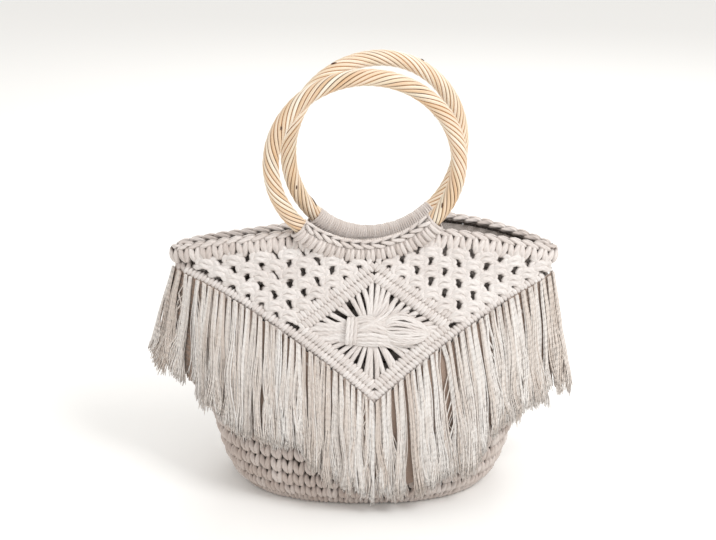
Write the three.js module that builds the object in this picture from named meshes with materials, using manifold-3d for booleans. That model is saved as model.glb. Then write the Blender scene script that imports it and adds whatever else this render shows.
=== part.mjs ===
// Crochet tote bag: a flat-bottomed basket of thick cotton cord with a knotted V panel in its
// front wall, a fringe hanging from the V, and two twisted rattan rings as handles.
// Millimetres, +Z up. The origin is the middle of the flat base. +X is the bag's right-hand end
// as it is looked at, and -Y is the front with the knotted panel.

import * as THREE from 'three';
import { mergeVertices } from 'three/addons/utils/BufferGeometryUtils.js';
import Module from 'manifold-3d';

const wasm = await Module();
wasm.setup();

const degrees = THREE.MathUtils.degToRad;

// Basket
const mouthHalfWidth = 156;
const bellyHalfDepth = 76.5;
const rimEndHeight = 209;
const rimRise = 21;
const wall = 5;
const floorThickness = 6;
const frontMouthTurn = 0.05;
const backMouthTurn = 0.28;
const mouthFade = 3;

// Braid along the rim
const braidHeight = 10;
const braidThickness = 9;
const braidSeat = 0.7;

// Handles: rattan rings lying in crocheted sleeves
const ringRadius = 73.25;
const caneRadius = 6.5;
const sleeveWall = 2.7;
const sleeveReach = degrees(48);
const ringDrop = 10;
const frontRingLean = degrees(-10.4);
const frontRingYaw = degrees(2.8);
const backRingLean = degrees(0.6);
const backRingYaw = degrees(15.6);
const backRingShift = 10;

// Knotted V panel
const panelShift = 8;
const panelHalfWidth = 140;
const panelRise = 83;
const panelBow = 0.4;
const panelApexHeight = 100;
const panelReach = 146;
const ribWidth = 6.2;
const ribProud = 2.4;
const diamondHalfWidth = 59;
const diamondTop = 189.5;
const wallTilt = degrees(22);

// Open gaps of the net
const gapColumnPitch = 11.3;
const gapRowPitch = 7.8;
const gapFirstRow = 18;
const gapSize = 4;
const gapMargin = 5.5;
const gapCut = 20;
const firstGapColumn = 2;

// Flower of strands inside the diamond, drawn together by one big knot
const slotCount = 18;
const slotWidth = 3;
const strandRoot = 0.8;
const hubShare = 0.45;
const slotMargin = 3;
const knotLength = 50;
const knotHeight = 22;
const knotDepth = 14;
const knotFacets = 1;

// Fringe
const fringeLength = 100;
const lockCount = 16;
const lockCrest = 6;
const lockValley = 2.8;
const fringeHead = 2.2;
const fringeStandoff = 1.4;
const hemNotch = 7;

// Clearance between neighbours
const gap = 0.3;

// Facets
const aroundBasket = 48;
const ringSides = 10;
const ringSteps = 40;
const sleeveSteps = 10;
const braidSteps = 20;
const edgeSteps = 12;
const fringeRows = 4;
const braidSides = 8;
const halvings = 40;
const weld = 1e-4;

const sleeveRadius = caneRadius + gap + sleeveWall;
const wallTop = rimEndHeight - braidHeight - braidSeat;
const frontAngle = -Math.PI / 2;
const backAngle = Math.PI / 2;

// Sections of the basket from base to rim: height as a share of the wall's height at its ends,
// half width as a share of the mouth's, half depth as a share of the belly's, and squareness.
const levels = [
  { height: 0, halfWidth: 0.63, halfDepth: 0.77, square: 2.3 },
  { height: 0.03, halfWidth: 0.68, halfDepth: 0.865, square: 2.3 },
  { height: 0.08, halfWidth: 0.725, halfDepth: 0.94, square: 2.3 },
  { height: 0.16, halfWidth: 0.766, halfDepth: 0.99, square: 2.3 },
  { height: 0.307, halfWidth: 0.814, halfDepth: 1, square: 2.3 },
  { height: 0.42, halfWidth: 0.848, halfDepth: 0.965, square: 2.3 },
  { height: 0.53, halfWidth: 0.88, halfDepth: 0.88, square: 2.25 },
  { height: 0.64, halfWidth: 0.91, halfDepth: 0.755, square: 2.2 },
  { height: 0.754, halfWidth: 0.942, halfDepth: 0.6, square: 2.2 },
  { height: 0.85, halfWidth: 0.965, halfDepth: 0.445, square: 2.2 },
  { height: 0.93, halfWidth: 0.98, halfDepth: 0.335, square: 2.3 },
  { height: 1, halfWidth: 1, halfDepth: 0.28, square: 2.4 },
];

// Fringe from the V's point to each end: where a lock hangs as a share of the way, its length
// as a share of fringeLength, and how far its hem leans along X as a share of that length.
const leftFringe = [
  { along: 0, share: 0.8, lean: 0 },
  { along: 0.2, share: 0.92, lean: 0.01 },
  { along: 0.38, share: 0.86, lean: 0.02 },
  { along: 0.58, share: 0.99, lean: 0.01 },
  { along: 0.8, share: 0.98, lean: -0.04 },
  { along: 0.9, share: 0.9, lean: -0.13 },
  { along: 1, share: 0.79, lean: -0.27 },
];
const rightFringe = [
  { along: 0, share: 0.8, lean: 0 },
  { along: 0.15, share: 0.97, lean: 0.06 },
  { along: 0.45, share: 1.08, lean: 0.1 },
  { along: 0.6, share: 0.95, lean: 0.08 },
  { along: 0.8, share: 0.96, lean: 0.1 },
  { along: 1, share: 1.05, lean: 0.17 },
];

// Locks differ in length, in a repeating order.
const lockLengths = [1, 0.95, 1.02, 0.93, 0.99];

// Across one lock: where a column stands as a share of the lock's width, and whether it is
// on the crest or in the valley between two locks.
const lockColumns = [
  { at: 0, crest: false },
  { at: 0.28, crest: true },
  { at: 0.72, crest: true },
];

// Value of one column of a table at a place between its rows, on a smooth curve.
function columnAt(rows, key, column, place) {
  const last = rows.length - 1;
  let i = 0;
  while (i < last - 1 && place > rows[i + 1][key]) i += 1;
  const slope = (k) => {
    const low = rows[Math.max(0, k - 1)];
    const high = rows[Math.min(last, k + 1)];
    return (high[column] - low[column]) / (high[key] - low[key]);
  };
  const [p, q] = [rows[i], rows[i + 1]];
  const span = q[key] - p[key];
  const s = THREE.MathUtils.clamp((place - p[key]) / span, 0, 1);
  const bend = s * (1 - s) * span * (slope(i) * (1 - s) - slope(i + 1) * s);
  return THREE.MathUtils.lerp(p[column], q[column], s * s * (3 - 2 * s)) + bend;
}

// Where a rising function passes zero between two limits.
function solve(rising, from, to) {
  let [low, high] = [from, to];
  for (let k = 0; k < halvings; k += 1) {
    const middle = (low + high) / 2;
    if (rising(middle) < 0) low = middle;
    else high = middle;
  }
  return (low + high) / 2;
}

const signedPower = (value, exponent) => Math.sign(value) * Math.abs(value) ** exponent;

// Oval section of the basket at a share of its height.
function ovalAt(share) {
  return {
    halfWidth: mouthHalfWidth * columnAt(levels, 'height', 'halfWidth', share),
    halfDepth: bellyHalfDepth * columnAt(levels, 'height', 'halfDepth', share),
    square: columnAt(levels, 'height', 'square', share),
  };
}

// The mouth's long sides turn a little with the ring that each one carries. Both this turn and
// the rise of the rim fade out towards the base.
function turnAt(x, sine, share) {
  const side = sine < 0 ? frontMouthTurn * x : backMouthTurn * (x - backRingShift);
  return side * (Math.abs(sine) * share) ** mouthFade;
}

// The rim stands higher towards the handles than at the ends.
const heightAt = (x, share) => share * wallTop
  + rimRise * (1 - (x / mouthHalfWidth) ** 2) * share ** mouthFade;

// Point of the basket's outer face at an angle round it and a share of its height, moved out.
function skin(angle, share, out = 0) {
  const oval = ovalAt(share);
  const exponent = 2 / oval.square;
  const sine = Math.sin(angle);
  const x = (oval.halfWidth + out) * signedPower(Math.cos(angle), exponent);
  const y = (oval.halfDepth + out) * signedPower(sine, exponent) + turnAt(x, sine, share);
  return new THREE.Vector3(x, y, heightAt(x, share));
}

const shareAt = (x, z) => solve((share) => heightAt(x, share) - z, 0, 1);

// Depth of the front face behind a place in the front view.
function frontDepth(x, z) {
  const share = shareAt(x, z);
  const oval = ovalAt(share);
  const sine = Math.sqrt(Math.max(0, 1 - Math.abs(x / oval.halfWidth) ** oval.square));
  return turnAt(x, -sine, share) - oval.halfDepth * sine ** (2 / oval.square);
}

// Solid from a closed three.js geometry.
function solidOf(geometry) {
  geometry.deleteAttribute('normal');
  geometry.deleteAttribute('uv');
  const merged = mergeVertices(geometry, weld);
  return new wasm.Manifold(new wasm.Mesh({
    numProp: 3,
    vertProperties: new Float32Array(merged.getAttribute('position').array),
    triVerts: new Uint32Array(merged.index.array),
  }));
}

// Triangles that close a loop: a fan round an added middle point, or, for a flat loop that
// runs out along one face and back along the other, a ladder between its two faces.
function capTriangles(count, flat) {
  const triangles = [];
  for (let j = 0; j < (flat ? count / 2 - 1 : count); j += 1) {
    const across = count - 1 - j;
    if (flat) triangles.push([j, j + 1, across - 1], [j, across - 1, across]);
    else triangles.push([j, (j + 1) % count, count]);
  }
  return triangles;
}

// Solid through a row of closed loops that all have the same number of points.
function solidThrough(loops, flat = false) {
  const count = loops[0].length;
  const rows = loops.map((loop) => {
    const middle = new THREE.Vector3();
    loop.forEach((point) => middle.addScaledVector(point, 1 / count));
    return [...loop, middle];
  });
  const stride = count + 1;
  const faces = [];
  for (let i = 0; i + 1 < rows.length; i += 1) {
    for (let j = 0; j < count; j += 1) {
      const a = i * stride + j;
      const b = i * stride + ((j + 1) % count);
      faces.push(a, b, b + stride, a, b + stride, a + stride);
    }
  }
  const end = (rows.length - 1) * stride;
  for (const [a, b, c] of capTriangles(count, flat)) {
    faces.push(a, c, b, end + a, end + b, end + c);
  }
  const used = [...new Set(faces)].sort((a, b) => a - b);
  const place = new Map(used.map((from, to) => [from, to]));
  const points = rows.flat();
  const geometry = new THREE.BufferGeometry();
  geometry.setFromPoints(used.map((i) => points[i]));
  geometry.setIndex(faces.map((i) => place.get(i)));
  return solidOf(geometry);
}

// Straight cutter through the front wall with an outline drawn as seen from the front.
function frontCutter(outline) {
  const shape = new THREE.Shape(outline.map(([x, z]) => new THREE.Vector2(x, z)));
  const options = { depth: 2 * bellyHalfDepth, bevelEnabled: false };
  return solidOf(new THREE.ExtrudeGeometry(shape, options).rotateX(Math.PI / 2));
}

const largest = (solid) => solid.decompose().reduce((a, b) => (a.volume() > b.volume() ? a : b));

// The basket wall and floor as one hollow shell, its outer face moved out by a distance.
function shell(out) {
  const shares = levels.map((level) => level.height);
  const floorShare = floorThickness / wallTop;
  const inside = [...shares.filter((share) => share > floorShare).reverse(), floorShare];
  const loop = (share, offset) => Array.from(
    { length: aroundBasket },
    (_, k) => skin((2 * Math.PI * k) / aroundBasket, share, offset),
  );
  return solidThrough([
    ...shares.map((share) => loop(share, out)),
    ...inside.map((share) => loop(share, -wall)),
  ]);
}

// A ring's frame is its centre, leaning and turned, with its lowest point in the wall.
function ringFrame(angle, shift, lean, yaw) {
  const frame = new THREE.Object3D();
  frame.rotation.set(-lean, 0, yaw, 'ZYX');
  const up = new THREE.Vector3(0, 0, 1).applyEuler(frame.rotation);
  const depth = Math.sign(angle) * (ovalAt(1).halfDepth - wall / 2);
  frame.position.set(shift, depth, wallTop + rimRise - ringDrop).addScaledVector(up, ringRadius);
  frame.updateMatrix();
  return frame.matrix;
}

const frontFrame = ringFrame(frontAngle, 0, frontRingLean, frontRingYaw);
const backFrame = ringFrame(backAngle, backRingShift, backRingLean, backRingYaw);

// Tube along the bottom arc of a ring, reaching the same angle either side of its lowest point.
function arcTube(frame, radius, reach) {
  const arc = Array.from({ length: sleeveSteps + 1 }, (_, k) => {
    const angle = reach * ((2 * k) / sleeveSteps - 1);
    return new THREE.Vector3(Math.sin(angle), 0, -Math.cos(angle)).multiplyScalar(ringRadius);
  });
  const section = new THREE.Shape(Array.from({ length: ringSides }, (_, k) => {
    const angle = (2 * Math.PI * k) / ringSides;
    return new THREE.Vector2(Math.cos(angle), Math.sin(angle)).multiplyScalar(radius);
  }));
  const path = new THREE.CatmullRomCurve3(arc);
  const geometry = new THREE.ExtrudeGeometry(section, { steps: sleeveSteps, extrudePath: path });
  return solidOf(geometry.applyMatrix4(frame));
}

// Whole ring of round section.
function ringTorus(frame, radius) {
  const torus = new THREE.TorusGeometry(ringRadius, radius, ringSides, ringSteps);
  return solidOf(torus.rotateX(Math.PI / 2).applyMatrix4(frame));
}

// Sleeve round the ring's bottom arc.
const sleeve = (frame) => arcTube(frame, sleeveRadius, sleeveReach)
  .subtract(ringTorus(frame, caneRadius + gap));

// Room that a sleeve takes out of the rim, with the ring's own opening above it.
function sleeveRoom(frame) {
  const disc = new THREE.CylinderGeometry(ringRadius, ringRadius, 2 * sleeveRadius, ringSteps);
  return arcTube(frame, sleeveRadius + gap, sleeveReach + gap / ringRadius)
    .add(solidOf(disc.applyMatrix4(frame)));
}

const sleeveRooms = sleeveRoom(frontFrame).add(sleeveRoom(backFrame));

// Height and slope of the V's line at a distance from the panel's middle.
function edgeHeight(distance) {
  const s = Math.abs(distance) / panelHalfWidth;
  return panelApexHeight + panelRise * s * (1 + panelBow - panelBow * s);
}
const edgeSlope = (distance) => (panelRise / panelHalfWidth)
  * (1 + panelBow - 2 * panelBow * (Math.abs(distance) / panelHalfWidth));

// Widths across the ribs, measured straight up in the front view.
const upright = Math.hypot(1, edgeSlope(0));
const halfRib = (ribWidth / 2) * upright;
const ribGap = gap * upright;
const ribPitch = 2 * halfRib + ribGap;

// The diamond sits on the V, and a second rib follows its two upper sides down to the V.
const cornerHeight = edgeHeight(diamondHalfWidth) + ribPitch;
const chevronSlope = (diamondTop - cornerHeight) / diamondHalfWidth;
const chevronTop = diamondTop + ribPitch;
const chevronHeight = (distance) => chevronTop - chevronSlope * Math.abs(distance);
const chevronReach = solve((d) => edgeHeight(d) - chevronHeight(d), 0, panelHalfWidth);
const leftEnd = -panelReach - panelShift;
const rightEnd = panelReach - panelShift;
const above = rimEndHeight + rimRise;

// Points along the V from one signed distance to another, lifted by an amount.
function edgeLine(from, to, lift) {
  return Array.from({ length: edgeSteps + 1 }, (_, k) => {
    const distance = THREE.MathUtils.lerp(from, to, k / edgeSteps);
    return [panelShift + distance, edgeHeight(distance) + lift];
  });
}

// The whole V between two signed distances, lifted by an amount.
const wholeEdge = (from, to, lift) => [
  ...edgeLine(from, 0, lift),
  ...edgeLine(0, to, lift).slice(1),
];

// Everything of the front view that lies over the V, to a height above the rim.
const overEdge = (from, to, lift) => frontCutter([
  ...wholeEdge(from, to, lift),
  [panelShift + to, above],
  [panelShift + from, above],
]);

const plainShell = shell(0);
const proudShell = shell(ribProud);

const basket = largest(plainShell
  .subtract(overEdge(leftEnd - gap, rightEnd + gap, -halfRib - ribGap))
  .subtract(sleeveRooms));

// Rib along the V.
const edgeRib = largest(proudShell.intersect(frontCutter([
  ...wholeEdge(leftEnd, rightEnd, -halfRib),
  ...wholeEdge(rightEnd, leftEnd, halfRib),
])));

// Outline of the diamond, its line moved out by an amount.
function diamond(out) {
  const spread = (2 * out) / (chevronSlope + edgeSlope(diamondHalfWidth));
  const corner = diamondHalfWidth + spread;
  return [
    ...wholeEdge(-corner, corner, ribPitch - out),
    [panelShift, diamondTop + out],
  ];
}

const diamondRib = largest(proudShell
  .intersect(frontCutter(diamond(halfRib)).subtract(frontCutter(diamond(-halfRib)))));

// Rib over the diamond's upper sides.
const chevronFoot = chevronReach + ribPitch;
const chevronLine = (lift) => [-chevronFoot, 0, chevronFoot]
  .map((distance) => [panelShift + distance, chevronHeight(distance) + lift]);
const chevronRib = largest(proudShell
  .intersect(frontCutter([...chevronLine(-halfRib), ...chevronLine(halfRib).reverse()]))
  .intersect(overEdge(leftEnd, rightEnd, halfRib + ribGap))
  .subtract(sleeveRooms));

// One open gap of the net, a square hole on its corner, square to the leaning wall.
function netGap(x, z) {
  const hole = new THREE.BoxGeometry(gapSize, gapCut, gapSize);
  hole.rotateY(Math.PI / 4).rotateX(-wallTilt);
  return solidOf(hole.translate(x, frontDepth(x, z) + wall / 2, z));
}

// One half of the net: the front wall between the V, the chevron and the rim, pierced by rows
// of gaps that stand between each other.
function net(side, end) {
  const lift = halfRib + ribGap;
  const outline = [
    ...edgeLine(end, side * chevronReach, lift),
    [panelShift, chevronTop + lift],
    [panelShift, above],
    [panelShift + end, above],
  ];
  const ringCentre = new THREE.Vector3().setFromMatrixPosition(frontFrame);
  const clear = ringRadius + sleeveRadius + gapMargin;
  let solid = largest(plainShell.intersect(frontCutter(outline)).subtract(sleeveRooms));
  for (let column = firstGapColumn; column * gapColumnPitch < panelReach; column += 1) {
    const distance = side * column * gapColumnPitch;
    const x = panelShift + distance;
    const lowest = Math.max(edgeHeight(distance), chevronHeight(distance)) + lift + gapMargin;
    let z = heightAt(x, 1) - gapFirstRow - (column % 2) * gapRowPitch;
    for (; z > lowest; z -= 2 * gapRowPitch) {
      const open = Math.hypot(x - ringCentre.x, z - ringCentre.z) > clear;
      if (open) solid = solid.subtract(netGap(x, z));
    }
  }
  return largest(solid);
}

// Strands that fan from the big knot to the diamond's four sides, with slots between them.
function flower() {
  const middle = (edgeHeight(0) + ribPitch + diamondTop) / 2;
  const halfHeight = diamondTop - middle;
  let solid = plainShell.intersect(frontCutter(diamond(-halfRib - ribGap)));
  for (let k = 0; k < slotCount; k += 1) {
    const angle = (2 * Math.PI * (k + 0.5)) / slotCount;
    const [cosine, sine] = [Math.cos(angle), Math.sin(angle)];
    const edge = 1 / (Math.abs(cosine) / diamondHalfWidth + Math.abs(sine) / halfHeight);
    const point = (along, across) => [
      panelShift + cosine * along - sine * across,
      middle + sine * along + cosine * across,
    ];
    const tip = edge - halfRib - slotMargin;
    solid = solid.subtract(frontCutter([
      point(edge * hubShare, -strandRoot / 2),
      point(tip, -slotWidth / 2),
      point(tip, slotWidth / 2),
      point(edge * hubShare, strandRoot / 2),
    ]));
  }
  const knot = new THREE.IcosahedronGeometry(1, knotFacets)
    .scale(knotLength / 2, knotDepth / 2, knotHeight / 2)
    .rotateX(-wallTilt)
    .translate(panelShift, frontDepth(panelShift, middle), middle);
  return largest(solid.add(solidOf(knot)));
}

// Braid on the rim, from the front sleeve round one end of the mouth to the back sleeve.
function rimBraid(side) {
  const start = ringRadius * Math.sin(sleeveReach) - sleeveRadius;
  const turn = Math.acos((start / mouthHalfWidth) ** (ovalAt(1).square / 2));
  const loops = [];
  for (let k = 0; k <= braidSteps; k += 1) {
    const angle = turn * ((2 * k) / braidSteps - 1);
    const around = side > 0 ? angle : Math.PI - angle;
    const foot = skin(around, 1, -wall / 2);
    const outward = skin(around, 1).sub(skin(around, 1, -wall)).setZ(0).normalize();
    loops.push(Array.from({ length: braidSides }, (_, j) => {
      const corner = (2 * Math.PI * (j + 0.5)) / braidSides;
      const size = 1 / Math.cos(Math.PI / braidSides);
      const across = (Math.cos(corner) * size * braidThickness) / 2;
      const up = braidSeat + (braidHeight / 2) * (1 + Math.sin(corner) * size);
      return foot.clone().addScaledVector(outward, across).add(new THREE.Vector3(0, 0, up));
    }));
  }
  if (side > 0) loops.reverse();
  return largest(solidThrough(loops).subtract(sleeveRooms));
}

// Point of the V on the basket's face, at an angle round it.
function edgePoint(angle) {
  const over = (share) => {
    const point = skin(angle, share);
    return point.z - edgeHeight(point.x - panelShift);
  };
  return skin(angle, solve(over, 0, 1));
}

// Level direction straight out of the basket at a point of its face.
function outwardAt(point) {
  const oval = ovalAt(shareAt(point.x, point.z));
  const pull = (value, size) => signedPower(value / size, oval.square - 1) / size;
  return new THREE.Vector3(
    pull(point.x, oval.halfWidth),
    pull(Math.min(point.y, 0), oval.halfDepth),
    0,
  ).normalize();
}

// How far out of a place the basket's front face lies along a level direction.
const faceBeyond = (place, outward) => solve((distance) => {
  const point = place.clone().addScaledVector(outward, distance);
  return frontDepth(point.x, point.z) - point.y;
}, 0, bellyHalfDepth);

// One half of the fringe: locks side by side that lie on the basket where it swells and hang
// straight down past it, fused into one curtain with a fluted face and a notched hem.
function fringe(side, shape) {
  const apexAngle = solve((angle) => edgePoint(angle).x - panelShift, -Math.PI, 0);
  const endAngle = side > 0 ? 0 : -Math.PI;
  const samples = Array.from({ length: aroundBasket + 1 }, (_, k) => edgePoint(
    THREE.MathUtils.lerp(apexAngle, endAngle, k / aroundBasket),
  ));
  const line = new THREE.CatmullRomCurve3(samples);
  const first = gap / line.getLength();
  const columns = [];
  for (let lock = 0; lock < lockCount; lock += 1) {
    for (const { at, crest } of lockColumns) columns.push({ at: lock + at, crest, lock });
  }
  columns.push({ at: lockCount, crest: false, lock: lockCount - 1 });
  const loops = columns.map(({ at, crest, lock }) => {
    const along = THREE.MathUtils.lerp(first, 1, at / lockCount);
    const head = line.getPointAt(along);
    const outward = outwardAt(head);
    head.z -= halfRib + ribGap;
    const own = lockLengths[lock % lockLengths.length];
    const length = fringeLength * own * columnAt(shape, 'along', 'share', along)
      - (crest ? 0 : hemNotch);
    const lean = length * columnAt(shape, 'along', 'lean', along);
    const face = [];
    const back = [];
    let out = 0;
    for (let row = 0; row <= fringeRows; row += 1) {
      const down = row / fringeRows;
      const place = head.clone().add(new THREE.Vector3(lean * down, 0, -length * down));
      out = Math.max(out, faceBeyond(place, outward));
      const full = crest ? lockCrest : lockValley;
      const thickness = row === 0 ? fringeHead : full;
      back.push(place.clone().addScaledVector(outward, out + fringeStandoff));
      face.push(place.clone().addScaledVector(outward, out + fringeStandoff + thickness));
    }
    return [...face, ...back.reverse()];
  });
  if (side < 0) loops.reverse();
  return solidThrough(loops, true);
}

const cotton = '#dcd2c7';
const shadedCotton = '#cfc3b6';
const fringeCotton = '#d8cdc1';
const rattan = '#dcbf94';
const cordRoughness = 0.95;
const yarnRoughness = 0.98;
const caneRoughness = 0.5;

// Named mesh of a finished solid.
function piece(name, solid, color, roughness) {
  const { numProp, vertProperties, triVerts } = solid.getMesh();
  const geometry = new THREE.BufferGeometry();
  geometry.setAttribute('position', new THREE.BufferAttribute(vertProperties, numProp));
  geometry.setIndex(new THREE.BufferAttribute(triVerts, 1));
  geometry.computeVertexNormals();
  const material = new THREE.MeshStandardMaterial({ color, roughness, metalness: 0 });
  const mesh = new THREE.Mesh(geometry, material);
  mesh.name = name;
  return mesh;
}

const bag = new THREE.Group();
bag.add(
  piece('basket_body', basket, shadedCotton, cordRoughness),
  piece('rim_left', rimBraid(-1), cotton, cordRoughness),
  piece('rim_right', rimBraid(1), cotton, cordRoughness),
  piece('casing_front', sleeve(frontFrame), cotton, cordRoughness),
  piece('casing_back', sleeve(backFrame), cotton, cordRoughness),
  piece('ring_front', ringTorus(frontFrame, caneRadius), rattan, caneRoughness),
  piece('ring_back', ringTorus(backFrame, caneRadius), rattan, caneRoughness),
  piece('net_left', net(-1, leftEnd), cotton, cordRoughness),
  piece('net_right', net(1, rightEnd), cotton, cordRoughness),
  piece('edge_rib', edgeRib, cotton, cordRoughness),
  piece('chevron_rib', chevronRib, cotton, cordRoughness),
  piece('diamond_rib', diamondRib, cotton, cordRoughness),
  piece('flower_knot', flower(), cotton, cordRoughness),
  piece('fringe_left', fringe(-1, leftFringe), fringeCotton, yarnRoughness),
  piece('fringe_right', fringe(1, rightFringe), fringeCotton, yarnRoughness),
);

export default bag;
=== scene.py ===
# Looks of the crochet tote bag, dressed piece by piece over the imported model.
# Shapes are worked out in millimetres and turned to metres where a mesh is made.
# +Z is up, +X is the bag's right-hand end, and -Y is the front with the knotted panel.

import math

import bpy
import numpy as np
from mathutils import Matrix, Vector


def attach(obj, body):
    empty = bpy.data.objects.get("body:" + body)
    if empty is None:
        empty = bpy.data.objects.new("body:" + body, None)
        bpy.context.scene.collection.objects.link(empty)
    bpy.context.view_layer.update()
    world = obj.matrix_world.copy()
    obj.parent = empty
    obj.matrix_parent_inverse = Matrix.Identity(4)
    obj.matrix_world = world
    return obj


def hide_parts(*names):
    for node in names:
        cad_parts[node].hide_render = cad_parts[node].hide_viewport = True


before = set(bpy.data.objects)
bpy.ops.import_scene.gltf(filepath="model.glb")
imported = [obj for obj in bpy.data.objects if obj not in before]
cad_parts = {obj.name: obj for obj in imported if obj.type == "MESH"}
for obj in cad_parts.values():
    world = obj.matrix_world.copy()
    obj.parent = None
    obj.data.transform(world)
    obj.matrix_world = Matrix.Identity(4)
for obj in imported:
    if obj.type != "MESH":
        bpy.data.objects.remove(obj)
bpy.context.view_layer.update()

# Basket wall. The real wall is thick soft cotton cord, crocheted in the round from the base up,
# so that it shows rows of plump V stitches. It is one skin of cord, with no cloth inside.
# Both legs of a V are drawn as tubes of cord that tuck under the row above.

MM = 0.001
TURN = 2 * math.pi
SEED = 7
rng = np.random.default_rng(SEED)

# Sizes of the wall in millimetres, and how far each long side turns about the handles' line.
MOUTH_HALF_WIDTH = 156
BELLY_HALF_DEPTH = 76.5
WALL_TOP = 198.3
RIM_RISE = 21
WALL = 5
FRONT_TURN = 0.05
BACK_TURN = 0.28
BACK_RING_SHIFT = 10
MOUTH_FADE = 3

# Height as a share of the wall's, half width and half depth as shares, and squareness.
WALL_LEVELS = np.array([
    (0, 0.63, 0.77, 2.3),
    (0.03, 0.68, 0.865, 2.3),
    (0.08, 0.725, 0.94, 2.3),
    (0.16, 0.766, 0.99, 2.3),
    (0.307, 0.814, 1, 2.3),
    (0.42, 0.848, 0.965, 2.3),
    (0.53, 0.88, 0.88, 2.25),
    (0.64, 0.91, 0.755, 2.2),
    (0.754, 0.942, 0.6, 2.2),
    (0.85, 0.965, 0.445, 2.2),
    (0.93, 0.98, 0.335, 2.3),
    (1, 1, 0.28, 2.4),
])


def column_at(rows, column, place):
    """Value of one column of a table at places between its rows, on a smooth curve."""
    key, value = rows[:, 0], rows[:, column]
    last = len(key) - 1
    place = np.clip(place, key[0], key[-1])
    i = np.clip(np.searchsorted(key, place, side="right") - 1, 0, last - 1)
    low = np.maximum(np.arange(last + 1) - 1, 0)
    high = np.minimum(np.arange(last + 1) + 1, last)
    slope = (value[high] - value[low]) / (key[high] - key[low])
    span = key[i + 1] - key[i]
    s = (place - key[i]) / span
    bend = s * (1 - s) * span * (slope[i] * (1 - s) - slope[i + 1] * s)
    step = s * s * (3 - 2 * s)
    return value[i] * (1 - step) + value[i + 1] * step + bend


def signed_power(value, exponent):
    """A power that keeps the value's sign."""
    return np.sign(value) * np.abs(value) ** exponent


def turn_at(x, sine, share):
    """How far the mouth turns the wall from the level, front and back by their own slopes."""
    side = np.where(sine < 0, FRONT_TURN * x, BACK_TURN * (x - BACK_RING_SHIFT))
    return side * (np.abs(sine) * share) ** MOUTH_FADE


def height_at(x, share):
    """Height of the wall at a share of it, with the mouth's rise towards the handles."""
    return share * WALL_TOP + RIM_RISE * (1 - (x / MOUTH_HALF_WIDTH) ** 2) * share ** MOUTH_FADE


def wall_skin(angle, share):
    """Point of the wall's outer face at an angle round it and a share of its height."""
    angle, share = np.broadcast_arrays(angle, share)
    half_width = MOUTH_HALF_WIDTH * column_at(WALL_LEVELS, 1, share)
    half_depth = BELLY_HALF_DEPTH * column_at(WALL_LEVELS, 2, share)
    exponent = 2 / column_at(WALL_LEVELS, 3, share)
    sine = np.sin(angle)
    x = half_width * signed_power(np.cos(angle), exponent)
    y = half_depth * signed_power(sine, exponent) + turn_at(x, sine, share)
    return np.stack([x, y, height_at(x, share)], -1)


def unit(vectors):
    return vectors / np.maximum(np.linalg.norm(vectors, axis=-1, keepdims=True), 1e-9)


def lengths_along(points, axis):
    """Length from the first point along an axis of an array of points."""
    steps = np.linalg.norm(np.diff(points, axis=axis), axis=-1)
    start = np.zeros_like(np.take(steps, [0], axis=axis))
    return np.concatenate([start, np.cumsum(steps, axis=axis)], axis=axis)


# Even steps of cord up the wall and round it, so that every stitch has the same size.
FINE = 720
wall_angles = np.linspace(-math.pi, math.pi, FINE + 1)
wall_shares = np.linspace(0, 1, 201)
wall_grid = wall_skin(wall_angles[None, :], wall_shares[:, None])
length_up = lengths_along(wall_grid, 0).mean(axis=1)
length_round = lengths_along(wall_grid, 1)
WALL_LENGTH = length_up[-1]
BELLY_ROUND = length_round[:, -1].max()
even_angles = np.stack([
    np.interp(np.linspace(0, row[-1], FINE + 1), row, wall_angles) for row in length_round
])


def even_wall(around, up):
    """Point of the wall's face by shares of its length: round it from the left end by the
    front, and up it from the base."""
    share = np.interp(up, length_up / WALL_LENGTH, wall_shares)
    row = share * (len(wall_shares) - 1)
    column = np.mod(around, 1) * FINE
    i = np.clip(row.astype(int), 0, len(wall_shares) - 2)
    j = np.clip(column.astype(int), 0, FINE - 1)
    s, t = row - i, column - j
    angle = (
        (even_angles[i, j] * (1 - t) + even_angles[i, j + 1] * t) * (1 - s)
        + (even_angles[i + 1, j] * (1 - t) + even_angles[i + 1, j + 1] * t) * s
    )
    return wall_skin(angle, share)


def on_wall(around, up, out):
    """Point at a distance out of the wall's face, with the way out of the face there."""
    around, up, out = np.broadcast_arrays(around, up, out)
    step = 0.002
    foot = np.clip(up, 0, 1)
    over, under = np.clip(foot + step, 0, 1), np.clip(foot - step, 0, 1)
    point = even_wall(around, foot)
    along = even_wall(around + step, foot) - even_wall(around - step, foot)
    upward = even_wall(around, over) - even_wall(around, under)
    normal = unit(np.cross(along, upward))
    beyond = (up - foot) * WALL_LENGTH
    return point + normal * out[..., None] + unit(upward) * beyond[..., None], normal


# Painted shade of a cord's sides and of its cut ends, where 1 is the face that points out.
SIDE_SHADE = 0.62
END_SHADE = 0.6


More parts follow.
